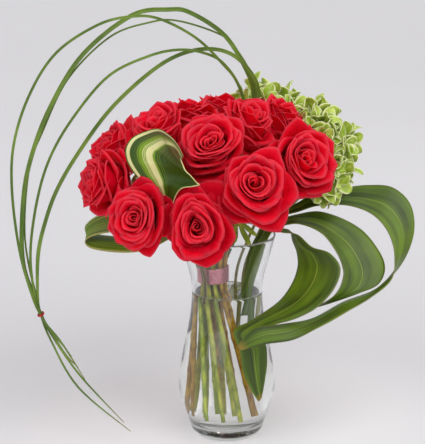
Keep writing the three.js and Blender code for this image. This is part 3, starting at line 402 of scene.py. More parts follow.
def grid_faces(rows, columns, closed=False):
    """Quads over a grid of points; a closed grid's last column joins its first."""
    i, j = np.meshgrid(np.arange(rows - 1), np.arange(columns if closed else columns - 1), indexing="ij")
    i, j = i.ravel(), j.ravel()
    right = (j + 1) % columns
    return np.stack([i * columns + j, i * columns + right,
                     (i + 1) * columns + right, (i + 1) * columns + j], 1).tolist()


def capped_faces(rows, columns):
    """Quads round a tube of rings, and a face over each end."""
    last = (rows - 1) * columns
    ends = [list(range(columns))[::-1], [last + k for k in range(columns)]]
    return grid_faces(rows, columns, closed=True) + ends


def grid_marks(grid, across, along, kind):
    """A surface's own coordinates, for its material."""
    marks = np.zeros_like(grid)
    marks[..., 0] = across
    marks[..., 1] = along
    marks[..., 2] = kind
    return marks


def new_object(name, data):
    made = bpy.data.objects.new(name, data)
    bpy.context.scene.collection.objects.link(made)
    return made


class Build:
    """Collects points, faces and a vector attribute of one piece."""

    def __init__(self):
        self.points = []
        self.faces = []
        self.marks = []
        self.count = 0

    def add(self, points, faces, marks=None):
        points = np.asarray(points, float).reshape(-1, 3)
        self.points.append(points)
        self.faces += [[self.count + k for k in face] for face in faces]
        marks = np.zeros_like(points) if marks is None else np.asarray(marks, float).reshape(-1, 3)
        self.marks.append(marks)
        self.count += len(points)

    def sheet(self, grid, marks):
        self.add(grid, grid_faces(*grid.shape[:2]), marks)

    def tube(self, path, radius, sides, kind=0, lobes=0):
        """A round bar along the path; radius is one number or one for each point."""
        path = np.asarray(path, float)
        radius = np.broadcast_to(radius, len(path))
        along = unit(np.gradient(path, axis=0))
        side = np.eye(3)[0 if abs(along[0][0]) < 0.9 else 1]
        angles = math.tau * np.arange(sides) / sides
        rings = []
        for i, point in enumerate(path):
            side = unit(side - side.dot(along[i]) * along[i])
            other = np.cross(along[i], side)
            reach = radius[i] * (1 + lobes * np.cos(3 * angles))
            rings.append(point + round_axis(reach, angles, 0) @ [side, other, along[i]])
        rings = np.array(rings)
        at = lengths_along(path)[:, None]
        marks = grid_marks(rings, np.arange(sides) / sides, at / at[-1], kind)
        self.add(rings, capped_faces(len(path), sides), marks)

    def object(self, name, slot, node, material, thickness=0):
        points = np.vstack(self.points) * MM
        mesh = bpy.data.meshes.new(name)
        mesh.from_pydata(points.tolist(), [], self.faces)
        mesh.update()
        attribute = mesh.attributes.new("mark", "FLOAT_VECTOR", "POINT")
        attribute.data.foreach_set("vector", np.vstack(self.marks).astype(np.float32).ravel())
        mesh.shade_smooth()
        piece = new_object(name, mesh)
        mesh.materials.append(material)
        if thickness:
            solidify = piece.modifiers.new("thickness", "SOLIDIFY")
            solidify.thickness = thickness * MM
            solidify.offset = 0
        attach(piece, "root")
        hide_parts(node)
        return piece


# Materials

class Nodes:
    """A material or world with one shader, and short calls to add nodes to it."""

    def __init__(self, name, kind="materials", shader="Principled BSDF", **values):
        self.owner = getattr(bpy.data, kind).new(name)
        self.owner.use_nodes = True
        self.tree = self.owner.node_tree
        self.shader = self.tree.nodes[shader]
        for key, value in values.items():
            self.shader.inputs[key.replace("_", " ")].default_value = value

    def put(self, kind, values=None, **settings):
        node = self.tree.nodes.new(kind)
        for key, value in settings.items():
            setattr(node, key, value)
        for key, value in (values or {}).items():
            if isinstance(value, bpy.types.NodeSocket):
                self.tree.links.new(value, node.inputs[key])
            else:
                node.inputs[key].default_value = value
        return node

    def math(self, operation, a, b=0.0):
        return self.put("ShaderNodeMath", {0: a, 1: b}, operation=operation).outputs[0]

    def off_middle(self, across):
        """How far a point lies from the leaf's middle line, up to 0.5."""
        return self.math("ABSOLUTE", self.math("SUBTRACT", across, 0.5))

    def rise(self, value, low=0.35, high=0.7, to_low=0.0, to_high=1.0):
        node = self.put("ShaderNodeMapRange", {0: value, 1: low, 2: high, 3: to_low, 4: to_high},
                        interpolation_type="SMOOTHSTEP")
        return node.outputs[0]

    def mix(self, share, a, b):
        """Mix two colours, each one a socket or (red, green, blue)."""
        a, b = (c if isinstance(c, bpy.types.NodeSocket) else (*c, 1) for c in (a, b))
        node = self.put("ShaderNodeMix", {0: share, 6: a, 7: b}, data_type="RGBA")
        return node.outputs[2]

    def marks(self):
        """The piece's own coordinates: as a vector, then across, along, and kind or share."""
        vector = self.put("ShaderNodeAttribute", attribute_name="mark").outputs["Vector"]
        return vector, *self.put("ShaderNodeSeparateXYZ", {0: vector}).outputs

    def stretched(self, vector, scale):
        return self.put("ShaderNodeMapping", {0: vector, 3: scale}).outputs[0]

    def noise(self, vector, scale, detail):
        values = {"Vector": vector, "Scale": scale, "Detail": detail}
        return self.put("ShaderNodeTexNoise", values).outputs[0]

    def veins(self, vector, scale, detail=1):
        """Noise drawn out along a leaf."""
        return self.noise(self.stretched(vector, scale), 1, detail)

    def place(self):
        return self.put("ShaderNodeTexCoord").outputs["Object"]

    def link(self, output, name):
        self.tree.links.new(output, self.shader.inputs[name])

    def bump(self, height, strength, distance):
        node = self.put("ShaderNodeBump", {"Height": height, "Strength": strength, "Distance": distance})
        self.link(node.outputs[0], "Normal")

    def layers(self, base, *coats):
        """Lay coats over the base colour: mask, where it begins, where it is full, strength, tint."""
        for mask, low, high, strength, tint in coats:
            base = self.mix(self.rise(mask, low, high, 0, strength), base, tint)
        return base

    def surface(self, base, height, strength, distance, rough=None):
        """Link the colour, a bump and the roughness (as rise takes it); the result is the material."""
        self.link(base, "Base Color")
        self.bump(height, strength, distance)
        if rough:
            self.link(self.rise(*rough), "Roughness")
        return self.owner


def petal_material():
    n = Nodes("rose_petal", Roughness=0.6, Specular_IOR_Level=0.06, Sheen_Weight=0.04,
              Sheen_Roughness=0.4, Sheen_Tint=(1, 0.25, 0.32, 1), Subsurface_Weight=0.45,
              Subsurface_Radius=(1.0, 0.05, 0.09), Subsurface_Scale=0.006)
    vector, across, along, _ = n.marks()
    streaks = n.noise(n.stretched(vector, (9, 0.9, 7)), 5, 4)
    blotches = n.noise(n.place(), 55, 2)
    # painted sheen: the tips and side margins, where the rolled edges catch the light, are mixed toward a
    # lighter pink
    rim = n.math("MAXIMUM", n.rise(along, 0.9, 1.0), n.rise(n.off_middle(across), 0.45, 0.5))
    base = n.mix(n.rise(blotches), (0.68, 0.0005, 0.012), (0.92, 0.002, 0.022))
    base = n.layers(base, (streaks, 0.4, 0.75, 0.5, (0.97, 0.004, 0.03)))
    base = n.mix(n.math("MULTIPLY", rim, 0.6), base, (0.95, 0.065, 0.1))
    # painted shade: each petal turns dark crimson toward its base, where the bloom's depths lie in shadow
    base = n.layers(base, (along, 0.5, 0.05, 0.75, (0.3, 0.0003, 0.006)))
    return n.surface(base, streaks, 0.35, 0.0004, (streaks, 0.3, 0.8, 0.5, 0.66))


def stem_material():
    n = Nodes("rose_stem", Roughness=0.5, Specular_IOR_Level=0.4)
    kind = n.marks()[3]
    blotches = n.noise(n.place(), 90, 4)
    lines = n.noise(n.stretched(n.place(), (1, 1, 0.08)), 900, 2)
    green = n.mix(n.rise(blotches), (0.2, 0.31, 0.008), (0.5, 0.58, 0.05))
    brown = n.mix(n.rise(blotches, 0.3, 0.7), (0.24, 0.075, 0.004), (0.62, 0.32, 0.025))
    return n.surface(n.mix(kind, green, brown), lines, 0.3, 0.0003, (blotches, 0.3, 0.8, 0.4, 0.6))


def strap_material():
    """Plain dark strap leaf: fine lengthwise veins, a light midrib, brown tips."""
    n = Nodes("aspidistra_leaf", Roughness=0.3, Specular_IOR_Level=0.45)
    vector, across, _, tip = n.marks()
    veins = n.veins(vector, (55, 0.012, 0), 2)
    fine = n.veins(vector, (190, 0.02, 0))
    patches = n.noise(n.place(), 14, 3)
    bands = n.veins(vector, (3.6, 0.012, 0))
    middle = n.off_middle(across)
    base = n.layers(
        n.mix(n.rise(bands, 0.3, 0.68), (0.012, 0.034, 0.0005), (0.085, 0.165, 0.002)),
        (veins, 0.35, 0.75, 0.28, (0.2, 0.3, 0.008)),
        (patches, 0.45, 0.72, 0.32, (0.24, 0.37, 0.012)),
        (middle, 0.02, 0.006, 0.5, (0.3, 0.38, 0.05)),
        (middle, 0.47, 0.5, 0.6, (0.26, 0.25, 0.06)),
        (tip, 0.975, 1.0, 0.7, (0.34, 0.2, 0.03)),
    )
    relief = n.math("ADD", veins, n.math("MULTIPLY", fine, 0.4))
    return n.surface(base, relief, 0.5, 0.0006, (veins, 0.25, 0.75, 0.3, 0.46))


def striped_material():
    """Striped strap leaf: cream margins, light and dark green stripes."""
    n = Nodes("striped_leaf", Roughness=0.38, Specular_IOR_Level=0.3)
    vector, across, _, _ = n.marks()
    stripes = n.veins(vector, (15, 0.004, 0))
    fine = n.veins(vector, (90, 0.012, 0))
    middle = n.off_middle(across)
    base = n.layers(
        n.mix(n.rise(fine), (0.06, 0.13, 0.002), (0.22, 0.36, 0.01)),
        (stripes, 0.5, 0.6, 0.75, (0.34, 0.46, 0.05)),
        (middle, 0.4, 0.46, 0.8, (0.5, 0.54, 0.16)),
        (middle, 0.485, 0.5, 0.35, (0.36, 0.22, 0.08)),
    )
    return n.surface(base, fine, 0.5, 0.0006, (fine, 0.25, 0.75, 0.34, 0.5))


def cream_band_material():
    """Striped strap leaf: cream and green stripes on one side, the other side plain dark green."""
    n = Nodes("cream_band_leaf", Roughness=0.34, Specular_IOR_Level=0.34)
    vector, across, _, tip = n.marks()
    fine = n.veins(vector, (110, 0.012, 0), 2)
    wander = n.math("MULTIPLY", n.math("SUBTRACT", n.veins(vector, (3, 0.03, 0), 2), 0.5), 0.025)
    place = n.math("ADD", across, wander)
    bright = (0.2, 0.35, 0.015)
    cream = n.mix(n.rise(fine, 0.3, 0.7), (0.74, 0.72, 0.27), (0.88, 0.87, 0.46))
    base = n.mix(n.rise(fine, 0.3, 0.7), (0.022, 0.055, 0.004), (0.07, 0.14, 0.01))
    for low, high, soft, tone in BANDS:
        up = n.rise(place, low - soft, low + soft)
        down = n.rise(place, high + soft, high - soft)
        base = n.mix(n.math("MULTIPLY", up, down), base, cream if tone == "cream" else bright)
    base = n.layers(base, (across, 0.03, 0.015, 1, cream))
    patches = n.noise(n.place(), 28, 2)
    ends = n.math("MAXIMUM", n.rise(tip, 0.82, 0.97), n.rise(tip, 0.5, 0.4))
    shade = n.math("MULTIPLY", n.math("MULTIPLY", ends, n.rise(patches, 0.25, 0.6)), 0.75)
    base = n.mix(shade, base, (0.11, 0.035, 0.008))
    return n.surface(base, fine, 0.4, 0.0005, (fine, 0.25, 0.75, 0.28, 0.42))


def grass_material():
    n = Nodes("grass_leaf", Roughness=0.42, Specular_IOR_Level=0.45)
    vector, _, _, tip = n.marks()
    lines = n.veins(vector, (14, 0.02, 0))
    patches = n.noise(n.place(), 25, 3)
    base = n.layers(
        n.mix(n.rise(patches), (0.07, 0.14, 0.01), (0.17, 0.28, 0.03)),
        (lines, 0.45, 0.75, 0.5, (0.2, 0.29, 0.06)),
        (tip, 0.96, 1.0, 0.8, (0.3, 0.22, 0.08)),
    )
    return n.surface(base, lines, 0.4, 0.0003)


def sprig_material():
    n = Nodes("sprig_leaf", Roughness=0.4, Specular_IOR_Level=0.5)
    _, across, _, kind = n.marks()
    side = n.off_middle(across)
    wander = n.math("MULTIPLY", n.math("SUBTRACT", n.noise(n.place(), 260, 2), 0.5), 0.22)
    edge = n.math("ADD", side, wander)
    patches = n.noise(n.place(), 120, 3)
    base = n.layers(
        n.mix(n.rise(patches), (0.32, 0.47, 0.025), (0.6, 0.73, 0.13)),
        (edge, 0.33, 0.46, 1, (0.82, 0.85, 0.46)),
        (side, 0.04, 0.012, 0.6, (0.62, 0.72, 0.3)),
        (kind, 0.5, 1.0, 1, (0.34, 0.33, 0.12)),
    )
    return n.surface(base, patches, 0.4, 0.0005, (patches, 0.3, 0.8, 0.34, 0.5))


def wire_material(name, dark, light, scale):
    n = Nodes(name, Metallic=0.85, Roughness=0.3)
    sparkle = n.noise(n.place(), scale, 2)
    base = n.mix(n.rise(sparkle, 0.4, 0.65), dark, light)
    return n.surface(base, sparkle, 0.5, 0.0004, (sparkle, 0.3, 0.7, 0.45, 0.15))


# painted highlights: a pale, partly clear glass flecked light and grey, laid over the glass rim and at
# the water line
def highlight_ring_material():
    n = Nodes("painted_glass_highlight", Roughness=0.18, IOR=1.45, Transmission_Weight=0.6)
    n.link(n.mix(n.noise(n.place(), 40, 2), (0.62, 0.66, 0.62), (0.9, 0.92, 0.9)), "Base Color")
    return n.owner


def floor_material():
    """Plain pale sheet, with a painted pool of light round the vase that lightens the bouquet's shadow.
    """
    n = Nodes("floor", Roughness=0.85, Specular_IOR_Level=0.2)
    away = n.put("ShaderNodeVectorMath", {0: n.place()}, operation="LENGTH").outputs[1]
    base = n.mix(n.noise(n.place(), 3, 2), (0.69, 0.68, 0.7), (0.71, 0.7, 0.72))
    # painted light: the floor's colour turns lighter near the vase to fill in the shadow there
    n.link(n.mix(n.rise(away, 0.34, 0.07), base, (0.93, 0.91, 0.93)), "Base Color")
    return n.owner


# Vase and water

def clear_body(name, slot, node, profile, bend, tint, scale, strength, distance):
    """A closed body of revolution, of glass or water; the profile starts and ends on the axis."""
    angles = math.tau * np.arange(VASE_SIDES) / VASE_SIDES
    inner = np.array(profile[1:-1])
    rings = round_axis(inner[:, :1], angles, inner[:, 1:]).reshape(-1, 3)
    count = len(rings)
    faces = grid_faces(len(inner), VASE_SIDES, closed=True)
    last = count - VASE_SIDES
    for k in range(VASE_SIDES):
        after = (k + 1) % VASE_SIDES
        faces.append([after, k, count])
        faces.append([last + k, last + after, count + 1])
    build = Build()
    build.add(np.vstack([rings, (0, 0, profile[0][1]), (0, 0, profile[-1][1])]), faces)
    n = Nodes(slot, Roughness=0.0, IOR=bend, Transmission_Weight=1.0, Base_Color=tint)
    n.bump(n.noise(n.place(), scale, 1), strength, distance)
    # light reaches the stems in the water as it does through real clear glass
    build.object(name, slot, node, n.owner).visible_shadow = False


def smooth_profile(points):
    flat = smooth_path([(r, 0, z) for r, z in points], VASE_STEPS)
    return [(p[0], p[2]) for p in flat]


def ring(name, slot, node, radius, height, thickness):
    """A closed ring round the vase's axis: a painted highlight along an edge of the glass or the water.
    """
    build = Build()
    build.tube(round_axis(radius, np.linspace(0, math.tau, VASE_SIDES + 1), height), thickness, 8)
    build.object(name, slot, node, highlight_ring_material())


def make_vase():
    profile = (VASE_UNDERSIDE + smooth_profile(VASE_OUTSIDE) + VASE_LIP + smooth_profile(VASE_INSIDE)
               + VASE_WELL)
    clear_body("vase_glass", "vase_glass", "vase", profile, 1.48, (0.98, 0.99, 0.985, 1), 18, 0.06, 0.002)
    # a whitish ring just under the rim: painted highlight on the glass edge
    ring("vase_rim_highlight", "vase_glass", "vase", VASE_RIM[0], VASE_RIM[1] - RIM_HIGHLIGHT[0], RIM_HIGHLIGHT[1])


def make_water():
    wall = [(r + WATER_INTO_GLASS, z) for r, z in smooth_profile(VASE_INSIDE) if z < WATER_LEVEL][::-1]
    reach = wall[-1][0]
    top = [(reach, WATER_LEVEL + WATER_CLIMB), (reach - WATER_CURVE, WATER_LEVEL), (0, WATER_LEVEL)]
    profile = WATER_BOTTOM + wall + top
    clear_body("water_body", "water", "water", profile, 1.33, (0.985, 0.99, 0.975, 1), 30, 0.03, 0.001)
    # a whitish ring at the water line: painted highlight on the water's edge
    ring("water_line_highlight", "water", "water", reach - LINE_HIGHLIGHT[0], WATER_LEVEL, LINE_HIGHLIGHT[1])


# Roses

def smooth_between(keys, values, x):
    """Smooth interpolation of the rows of values, one row for each key, at x."""
    keys = np.asarray(keys, float)
    before = np.diff(keys)[:, None]
    rise = np.diff(values, axis=0) / before
    middle = (rise[:-1] * before[1:] + rise[1:] * before[:-1]) / (before[1:] + before[:-1])
    slope = np.vstack([rise[:1], middle, rise[-1:]])
    k = np.clip(np.searchsorted(keys, x, side="left") - 1, 0, len(keys) - 2)
    h = (keys[k + 1] - keys[k])[:, None]
    s = ((x - keys[k]) / (keys[k + 1] - keys[k]))[:, None]
    s2, s3 = s * s, s * s * s
    return ((2 * s3 - 3 * s2 + 1) * values[k] + (s3 - 2 * s2 + s) * h * slope[k]
            + (3 * s2 - 2 * s3) * values[k + 1] + (s3 - s2) * h * slope[k + 1])


def petal_grid(depth, azimuth, draw, extra, wide, droop=0, stretch=GUARD_LENGTH):
    """One petal's middle surface in the bloom's own frame; depth is 0 outermost and 1 innermost."""
    def at_depth(values):
        return np.interp(depth, DEPTH_KEYS, values)

    lean = np.array([at_depth(column) for column in zip(*PETAL_LEAN)])
    lean = lean + droop * np.array(GUARD_DROOP) + np.array(PETAL_NOD) * draw.spread(PETAL_TILT)
    length = at_depth(PETAL_LENGTH) * (1 + draw.spread(0.06))
    length *= stretch if droop else 1
    half_width = at_depth(PETAL_HALF_WIDTH) * (1 + draw.spread(0.08))
    sunk = HEART_SINK * smooth_step(0.45, 0.8, depth) * (1 + extra.spread(0.5))
    wave_phase = draw.next() * PHASE
    skew = draw.spread(0.05)
    outer = 1 - depth
    # each petal leans, curls and folds a little differently from its neighbours
    lean = lean + np.array(PETAL_SWAY) * extra.spread(PETAL_TILT)
    curl, fold = extra.spread(1), extra.spread(1)
    u = np.linspace(-1, 1, PETAL_COLUMNS + 1)
    v = np.linspace(0.02, 1, PETAL_ROWS + 1)
    side = np.abs(u)
    # how tall the petal stands in each column: rounded corners, a small point, a slanted top
    tall = 1 - 0.15 * side ** 2.6 - (0.05 + 0.07 * outer) * side
    tall = tall + 0.03 * np.exp(-((u / 0.16) ** 2)) + skew * u
    folded = np.clip(u * fold, 0, 1) ** 1.5
    bent = np.repeat(lean[:, None], len(u), 1)
    bent[3] += (16 * side ** 2 + 16 * folded + 9 * curl) * outer
    bent[4] += (34 * side ** 2 + 60 * folded + 30 * curl + 14 * np.sin(3.1 * u + wave_phase)) * outer
    # the profile of each column, summed up in small steps
    here = np.radians(smooth_between(LENGTH_KEYS, bent, (np.arange(PETAL_STEPS) + 0.5) / PETAL_STEPS))
    step = length * tall / PETAL_STEPS
    places = np.arange(PETAL_STEPS + 1) / PETAL_STEPS

    def summed(base, parts):
        path = base + np.vstack([np.zeros_like(u), np.cumsum(parts, 0)]) * step
        return np.stack([np.interp(v, places, column) for column in path.T], 1)

    r = summed(at_depth(PETAL_BASE_RADIUS), np.sin(here))
    z = summed(at_depth(PETAL_BASE_HEIGHT) - sunk, np.cos(here))
    shape = 0.42 + 0.58 * np.sin(np.clip(v / PETAL_BROAD, 0, 1) * math.pi / 2)
    shape = shape - 0.1 * np.clip((v - PETAL_BROAD) / (1 - PETAL_BROAD), 0, 1) ** 2
    # margins wave a little and swing out, more so outside
    ruffle = (0.5 + 0.7 * extra.next()) * (1.1 - depth)
    phase = extra.next() * PHASE
    v = v[:, None]
    r = r + ruffle * np.sin(3.6 * u + phase) * v ** 2
    z = z + 0.5 * ruffle * np.sin(8.5 * u + 2 * phase) * v ** 5
    r = r + 1.2 * outer * side ** 3 * v ** 2 + 0.8 * u * np.minimum(1, v * 3)
    open_wide = 0.75 + 1.9 * np.minimum(1, v * 1.6) * (0.42 + 0.58 * depth)
    angle = azimuth + u * np.minimum(half_width * wide * shape[:, None] / np.maximum(r, 3.0), open_wide)
    grid = round_axis(r, angle, z)
    return grid, grid_marks(grid, (u + 1) / 2, v, depth)


def bloom_frame(rose):
    face, aim, size = rose[:3]
    axis = unit(aim)
    helper = np.eye(3)[0 if abs(axis[0]) < 0.75 else 2]
    first = unit(helper - helper.dot(axis) * axis)
    return np.array(face, float) - axis * BLOOM_HEIGHT * size, axis, first


def bloom_petals(rose):
    seed = rose[3]
    draw, extra = Draw(seed), Draw(seed + 100)
    start = draw.next() * PHASE
    petals = []
    for depth, offset, count in MAIN_WHORLS:
        for k in range(count):
            azimuth = start + math.radians(offset) + math.tau * k / count
            petals.append(petal_grid(depth, azimuth, draw, extra, 1.1))
    for depth, offset, count in ADDED_WHORLS:
        for k in range(count):
            azimuth = start + math.radians(offset) + math.tau * k / count + extra.spread(0.25)
            petals.append(petal_grid(depth + extra.spread(0.04), azimuth, extra, extra, 1.1))
    guard = math.degrees(start) + extra.spread(30)
    for turn in GUARD_TURNS.get(seed, (guard, guard + 115, guard + 245)):
        petals.append(petal_grid(0, math.radians(turn), extra, extra, 0.95, 0.7 + extra.spread(0.3)))
    for k in range(HEART_PETALS):
        depth = 0.8 + 0.2 * k / (HEART_PETALS - 1)
        petals.append(petal_grid(depth, start + 2.4 * k + extra.spread(0.12), extra, extra, 1))
    return placed_petals(rose, petals)


def placed_petals(rose, petals):
    base, axis, first = bloom_frame(rose)
    frame_rows = np.array([first, np.cross(axis, first), axis])
    return [(base + (grid * rose[2]) @ frame_rows, marks) for grid, marks in petals]


def reaching_petals(rose):
    draw = Draw(rose[3] + 300)
    petals = []
    for turn, stretch in REACHING_PETALS.get(rose[3], ()):
        petals.append(petal_grid(0, math.radians(turn), draw, draw, 0.9, 0.9, stretch))
    return placed_petals(rose, petals)


def squeeze_apart(blooms):
    """Neighbouring blooms press on each other up to the plane between them."""
    for _ in range(SQUEEZE_ROUNDS):
        for one, other in permutations(blooms, 2):
            squeeze(one, other)


def squeeze(one, other):
    gap = other["centre"] - one["centre"]
    distance = np.linalg.norm(gap)
    toward = gap / distance
    room = distance * one["size"] / (one["size"] + other["size"]) - BLOOM_GAP
    along = (one["grids"] - one["centre"]) @ toward
    reach = along.max()
    if reach > room:
        one["grids"] += np.where(along > 0, along * (room / reach - 1), 0)[..., None] * toward


def make_blooms():
    blooms = []
    for rose in ROSES:
        base, axis = bloom_frame(rose)[:2]
        grids, marks = zip(*bloom_petals(rose))
        centre = base + axis * BLOOM_HEIGHT * rose[2] * BLOOM_MIDDLE
        blooms.append({"size": rose[2], "centre": centre, "grids": np.array(grids), "marks": marks})
    squeeze_apart(blooms)
    material = petal_material()
    for number, (rose, bloom) in enumerate(zip(ROSES, blooms), 1):
        build = Build()
        for grid, marks in [*zip(bloom["grids"], bloom["marks"]), *reaching_petals(rose)]:
            build.sheet(grid, marks)
        node = f"rose_bloom_{number:02d}"
        build.object(f"bloom_{number:02d}", "rose_petal", node, material, PETAL_THICKNESS)


# Stems

def bundle_place(centre, height, slot, spread, turn=0):
    return (*centre[:2], 0) + round_axis(slot[0] * spread, math.radians(slot[1] + turn), height)


def stem_path(rose):
    base, axis = bloom_frame(rose)[:2]
    slot, foot_height = rose[4:]
    return [
        bundle_place(FOOT_CENTRE, foot_height, slot, FOOT_SPREAD, FOOT_TURN),
        bundle_place(WAIST, WAIST[2], slot, 1),
        bundle_place(WAIST, MOUTH_HEIGHT, slot, MOUTH_SPREAD),
        base - NECK_LENGTH * axis,
        base - HIP_BELOW * axis,
        base - 0.6 * rose[2] * axis,
    ]


def make_stem(number, rose, material):
    draw = Draw(number + 50)
    base, axis, first = bloom_frame(rose)
    path = rounded(stem_path(rose), 2.5, 6)
    at = lengths_along(path)
    from_top = at[-1] - at
    radius = STEM_RADIUS * (0.92 + 0.1 * np.sin(at / 31 + number))
    knot = KNOT_FIRST[0] + draw.next() * KNOT_FIRST[1]
    while knot < at[-1] - KNOT_FIRST[0]:
        radius = radius + KNOT_SWELL * np.exp(-((at - knot) / KNOT_LENGTH) ** 2)
        knot += KNOT_GAP[0] + draw.next() * KNOT_GAP[1]
    # the hip swells under the bloom
    hip = STEM_RADIUS + (HIP_RADIUS - STEM_RADIUS) * smooth_step(HIP_LENGTH, 2, from_top)
    radius = np.where(from_top < HIP_LENGTH, hip, radius)
    build = Build()
    build.tube(path, radius, 12, BROWN_TONE if number in BROWN_STEMS else GREEN_TONE * draw.next())
    for k in range(SEPALS):
        out = leaf_direction(axis, first, math.tau * k / SEPALS + draw.spread(0.15), math.pi / 2)
        make_sepal(build, base - 0.8 * axis, axis, out, draw)
    node = f"rose_stem_{number:02d}"
    build.object(f"stem_{number:02d}", "rose_stem", node, material)
    if number == LEAFLET_STEM:
        leaflets = Build()
        root = path[np.argmin(np.abs(from_top - LEAFLET_FROM_TOP))]
        for direction, length, wide in LEAFLETS:
            sprig_leaf(leaflets, root, unit(direction), (0, -1, 0), length, wide, draw)
        leaflets.object(f"stem_{number:02d}_leaflets", "rose_stem", node, material, LEAFLET_THICKNESS)


def make_sepal(build, base, axis, out, draw):
    across = np.cross(axis, out)
    reach = SEPAL_REACH + draw.spread(1.5)
    v = np.linspace(0, 1, 9)[:, None]
    s = np.linspace(-1, 1, 5)[:, None]
    middle = base + out * (SEPAL_ROOT + (reach - SEPAL_ROOT) * v) - axis * (SEPAL_DROP * v ** 1.5)
    half = SEPAL_HALF_WIDTH * np.sin(math.pi * np.minimum(1, 0.22 + 0.78 * v)) ** 0.8 + 0.15
    top = middle[:, None] + half[:, None] * s * across - 0.5 * (1 - s * s) * axis
    low = top - axis * SEPAL_THICKNESS + out * 0.1
    rim = np.concatenate([top, low[:, ::-1]], 1)
    build.add(rim, capped_faces(*rim.shape[:2]))


# Strap leaves

def make_strap(kind, side, pairs, material, hollow=STRAP_HOLLOW):
    near = smooth_path([pair[:3] for pair in pairs], STRAP_STEPS)
    far = smooth_path([pair[3:] for pair in pairs], STRAP_STEPS)
    middle = (near + far) / 2
    width = np.linalg.norm(far - near, axis=1)[:, None]
    across = (far - near) / width
    normal = unit(np.cross(across, np.gradient(middle, axis=0)))
    s = np.linspace(0, 1, STRAP_COLUMNS + 1)
    length = lengths_along(middle)[:, None]
    sink = hollow * width * 4 * s * (1 - s)
    # the margins wave slightly and the midrib is a shallow channel
    wave = STRAP_RIPPLE * np.sin(length / 13) * np.abs(2 * s - 1) ** 4 * np.minimum(1, width / 20)
    channel = 0.35 * np.exp(-((s - 0.5) / 0.03) ** 2) * np.minimum(1, width / 12)
    grid = near[:, None] + across[:, None] * (width * s)[..., None]
    grid = grid + normal[:, None] * (sink + wave + channel)[..., None]
    build = Build()
    build.sheet(grid, grid_marks(grid, s, length, length / length[-1]))
    build.object(f"leaf_{side}", f"{kind}_leaf", f"{kind}_loop_{side}", material, STRAP_THICKNESS)


# Grass

def make_grass(number, entry, material):
    layer, wide, tip, path = entry

    def layered(p, gap):
        return [p[0], p[1] + gap * layer, p[2]]

    root = [layered(p, GRASS_LAYER_GAP * (2 if p is GRASS_ROOT[-1] else 1)) for p in GRASS_ROOT]
    points = root + path + [layered(GRASS_TIE, GRASS_LAYER_GAP)] + tip
    before = len(root) + len(path) - 1
    widths = [GRASS_SLIM * wide] * before + [GRASS_TIE_WIDTH] * 2 + [GRASS_TAIL_WIDTH] * len(tip)
    widths[-1] = GRASS_TIP_WIDTH
    middle = smooth_path(points, GRASS_STEPS)
    width = np.interp(np.arange(len(middle)) / GRASS_STEPS, np.arange(len(points)), widths)[:, None]
    along = np.gradient(middle, axis=0)
    across = unit(np.cross(along, (0, 1, 0)))
    normal = unit(np.cross(across, along))
    s = np.linspace(-0.5, 0.5, GRASS_COLUMNS)
    grid = middle[:, None] + across[:, None] * (width * s)[..., None]
    grid = grid + normal[:, None] * (width * GRASS_KEEL * (0.5 - np.abs(s)))[..., None]
    length = lengths_along(middle)[:, None]
    build = Build()
    build.sheet(grid, grid_marks(grid, s + 0.5, length, length / length[-1]))
    name, node = f"grass_{number:02d}", f"grass_blade_{number:02d}"
    build.object(name, "grass_leaf", node, material, GRASS_THICKNESS)


def make_tie():
    along = np.subtract(GRASS[1][2][0], GRASS[1][3][-1])
    along[1] = 0
    along = unit(along)
    across = np.cross(along, (0, 1, 0))
    angle = np.linspace(0, math.tau * TIE_TURNS, 36 * TIE_TURNS + 1)
    rise = np.linspace(-TIE_HALF_LENGTH, TIE_HALF_LENGTH, len(angle))
    path = GRASS_TIE + round_axis(1, angle, rise) * (*TIE_REACH, 1) @ [across, (0, 1, 0), along]
    build = Build()
    build.tube(path, TIE_WIRE_RADIUS, 8)
    build.object("grass_tie_wire", "tie_wire", "grass_tie",
                 wire_material("tie_wire", (0.45, 0.01, 0.02), (0.8, 0.05, 0.06), 900))


# Sprigs

def sprig_leaf(build, root, direction, up, length, width, draw):
    across = unit(np.cross(direction, up))
    back = unit(np.cross(across, direction))
    v = np.array(SPRIG_LEAF_ROWS)[:, None]
    s = np.linspace(-1, 1, SPRIG_LEAF_COLUMNS)
    lower = np.sin(0.5 * math.pi * np.minimum(v / SPRIG_LEAF_BROAD, 1)) ** 1.35
    past = np.maximum((v - SPRIG_LEAF_BROAD) / (1 - SPRIG_LEAF_BROAD), 0)
    half = 0.5 * width * lower * np.sqrt(np.maximum(1 - past ** 2, 0)) + 0.35
    curl = -0.13 * v ** 2.4 + 0.03 * np.sin(math.pi * v)
    wave = 0.035 * length * np.sin(9 * v + draw.next() * PHASE) * s ** 2 * np.sign(s)
    cup = 0.32 * half * np.abs(s) ** 1.6
    rise = curl * length + cup + wave
    grid = (root + (v * length)[..., None] * direction + (half * s)[..., None] * across
            + rise[..., None] * back)
    build.sheet(grid, grid_marks(grid, (s + 1) / 2, v, 0))


def leaf_direction(axis, first, angle, lean):
    out = math.cos(angle) * first + math.sin(angle) * np.cross(axis, first)
    return math.cos(lean) * axis + math.sin(lean) * out


def whorl(axis, first, count, jitter, lean, draw):
    """Each leaf's share of the way inwards and its direction, the outermost leaf first."""
    for k in range(count):
        inner = k / (count - 1)
        angle = k * GOLDEN_ANGLE + draw.spread(jitter)
        tilt = math.radians(lean[0] - lean[1] * inner + draw.spread(lean[2]))
        yield inner, leaf_direction(axis, first, angle, tilt)


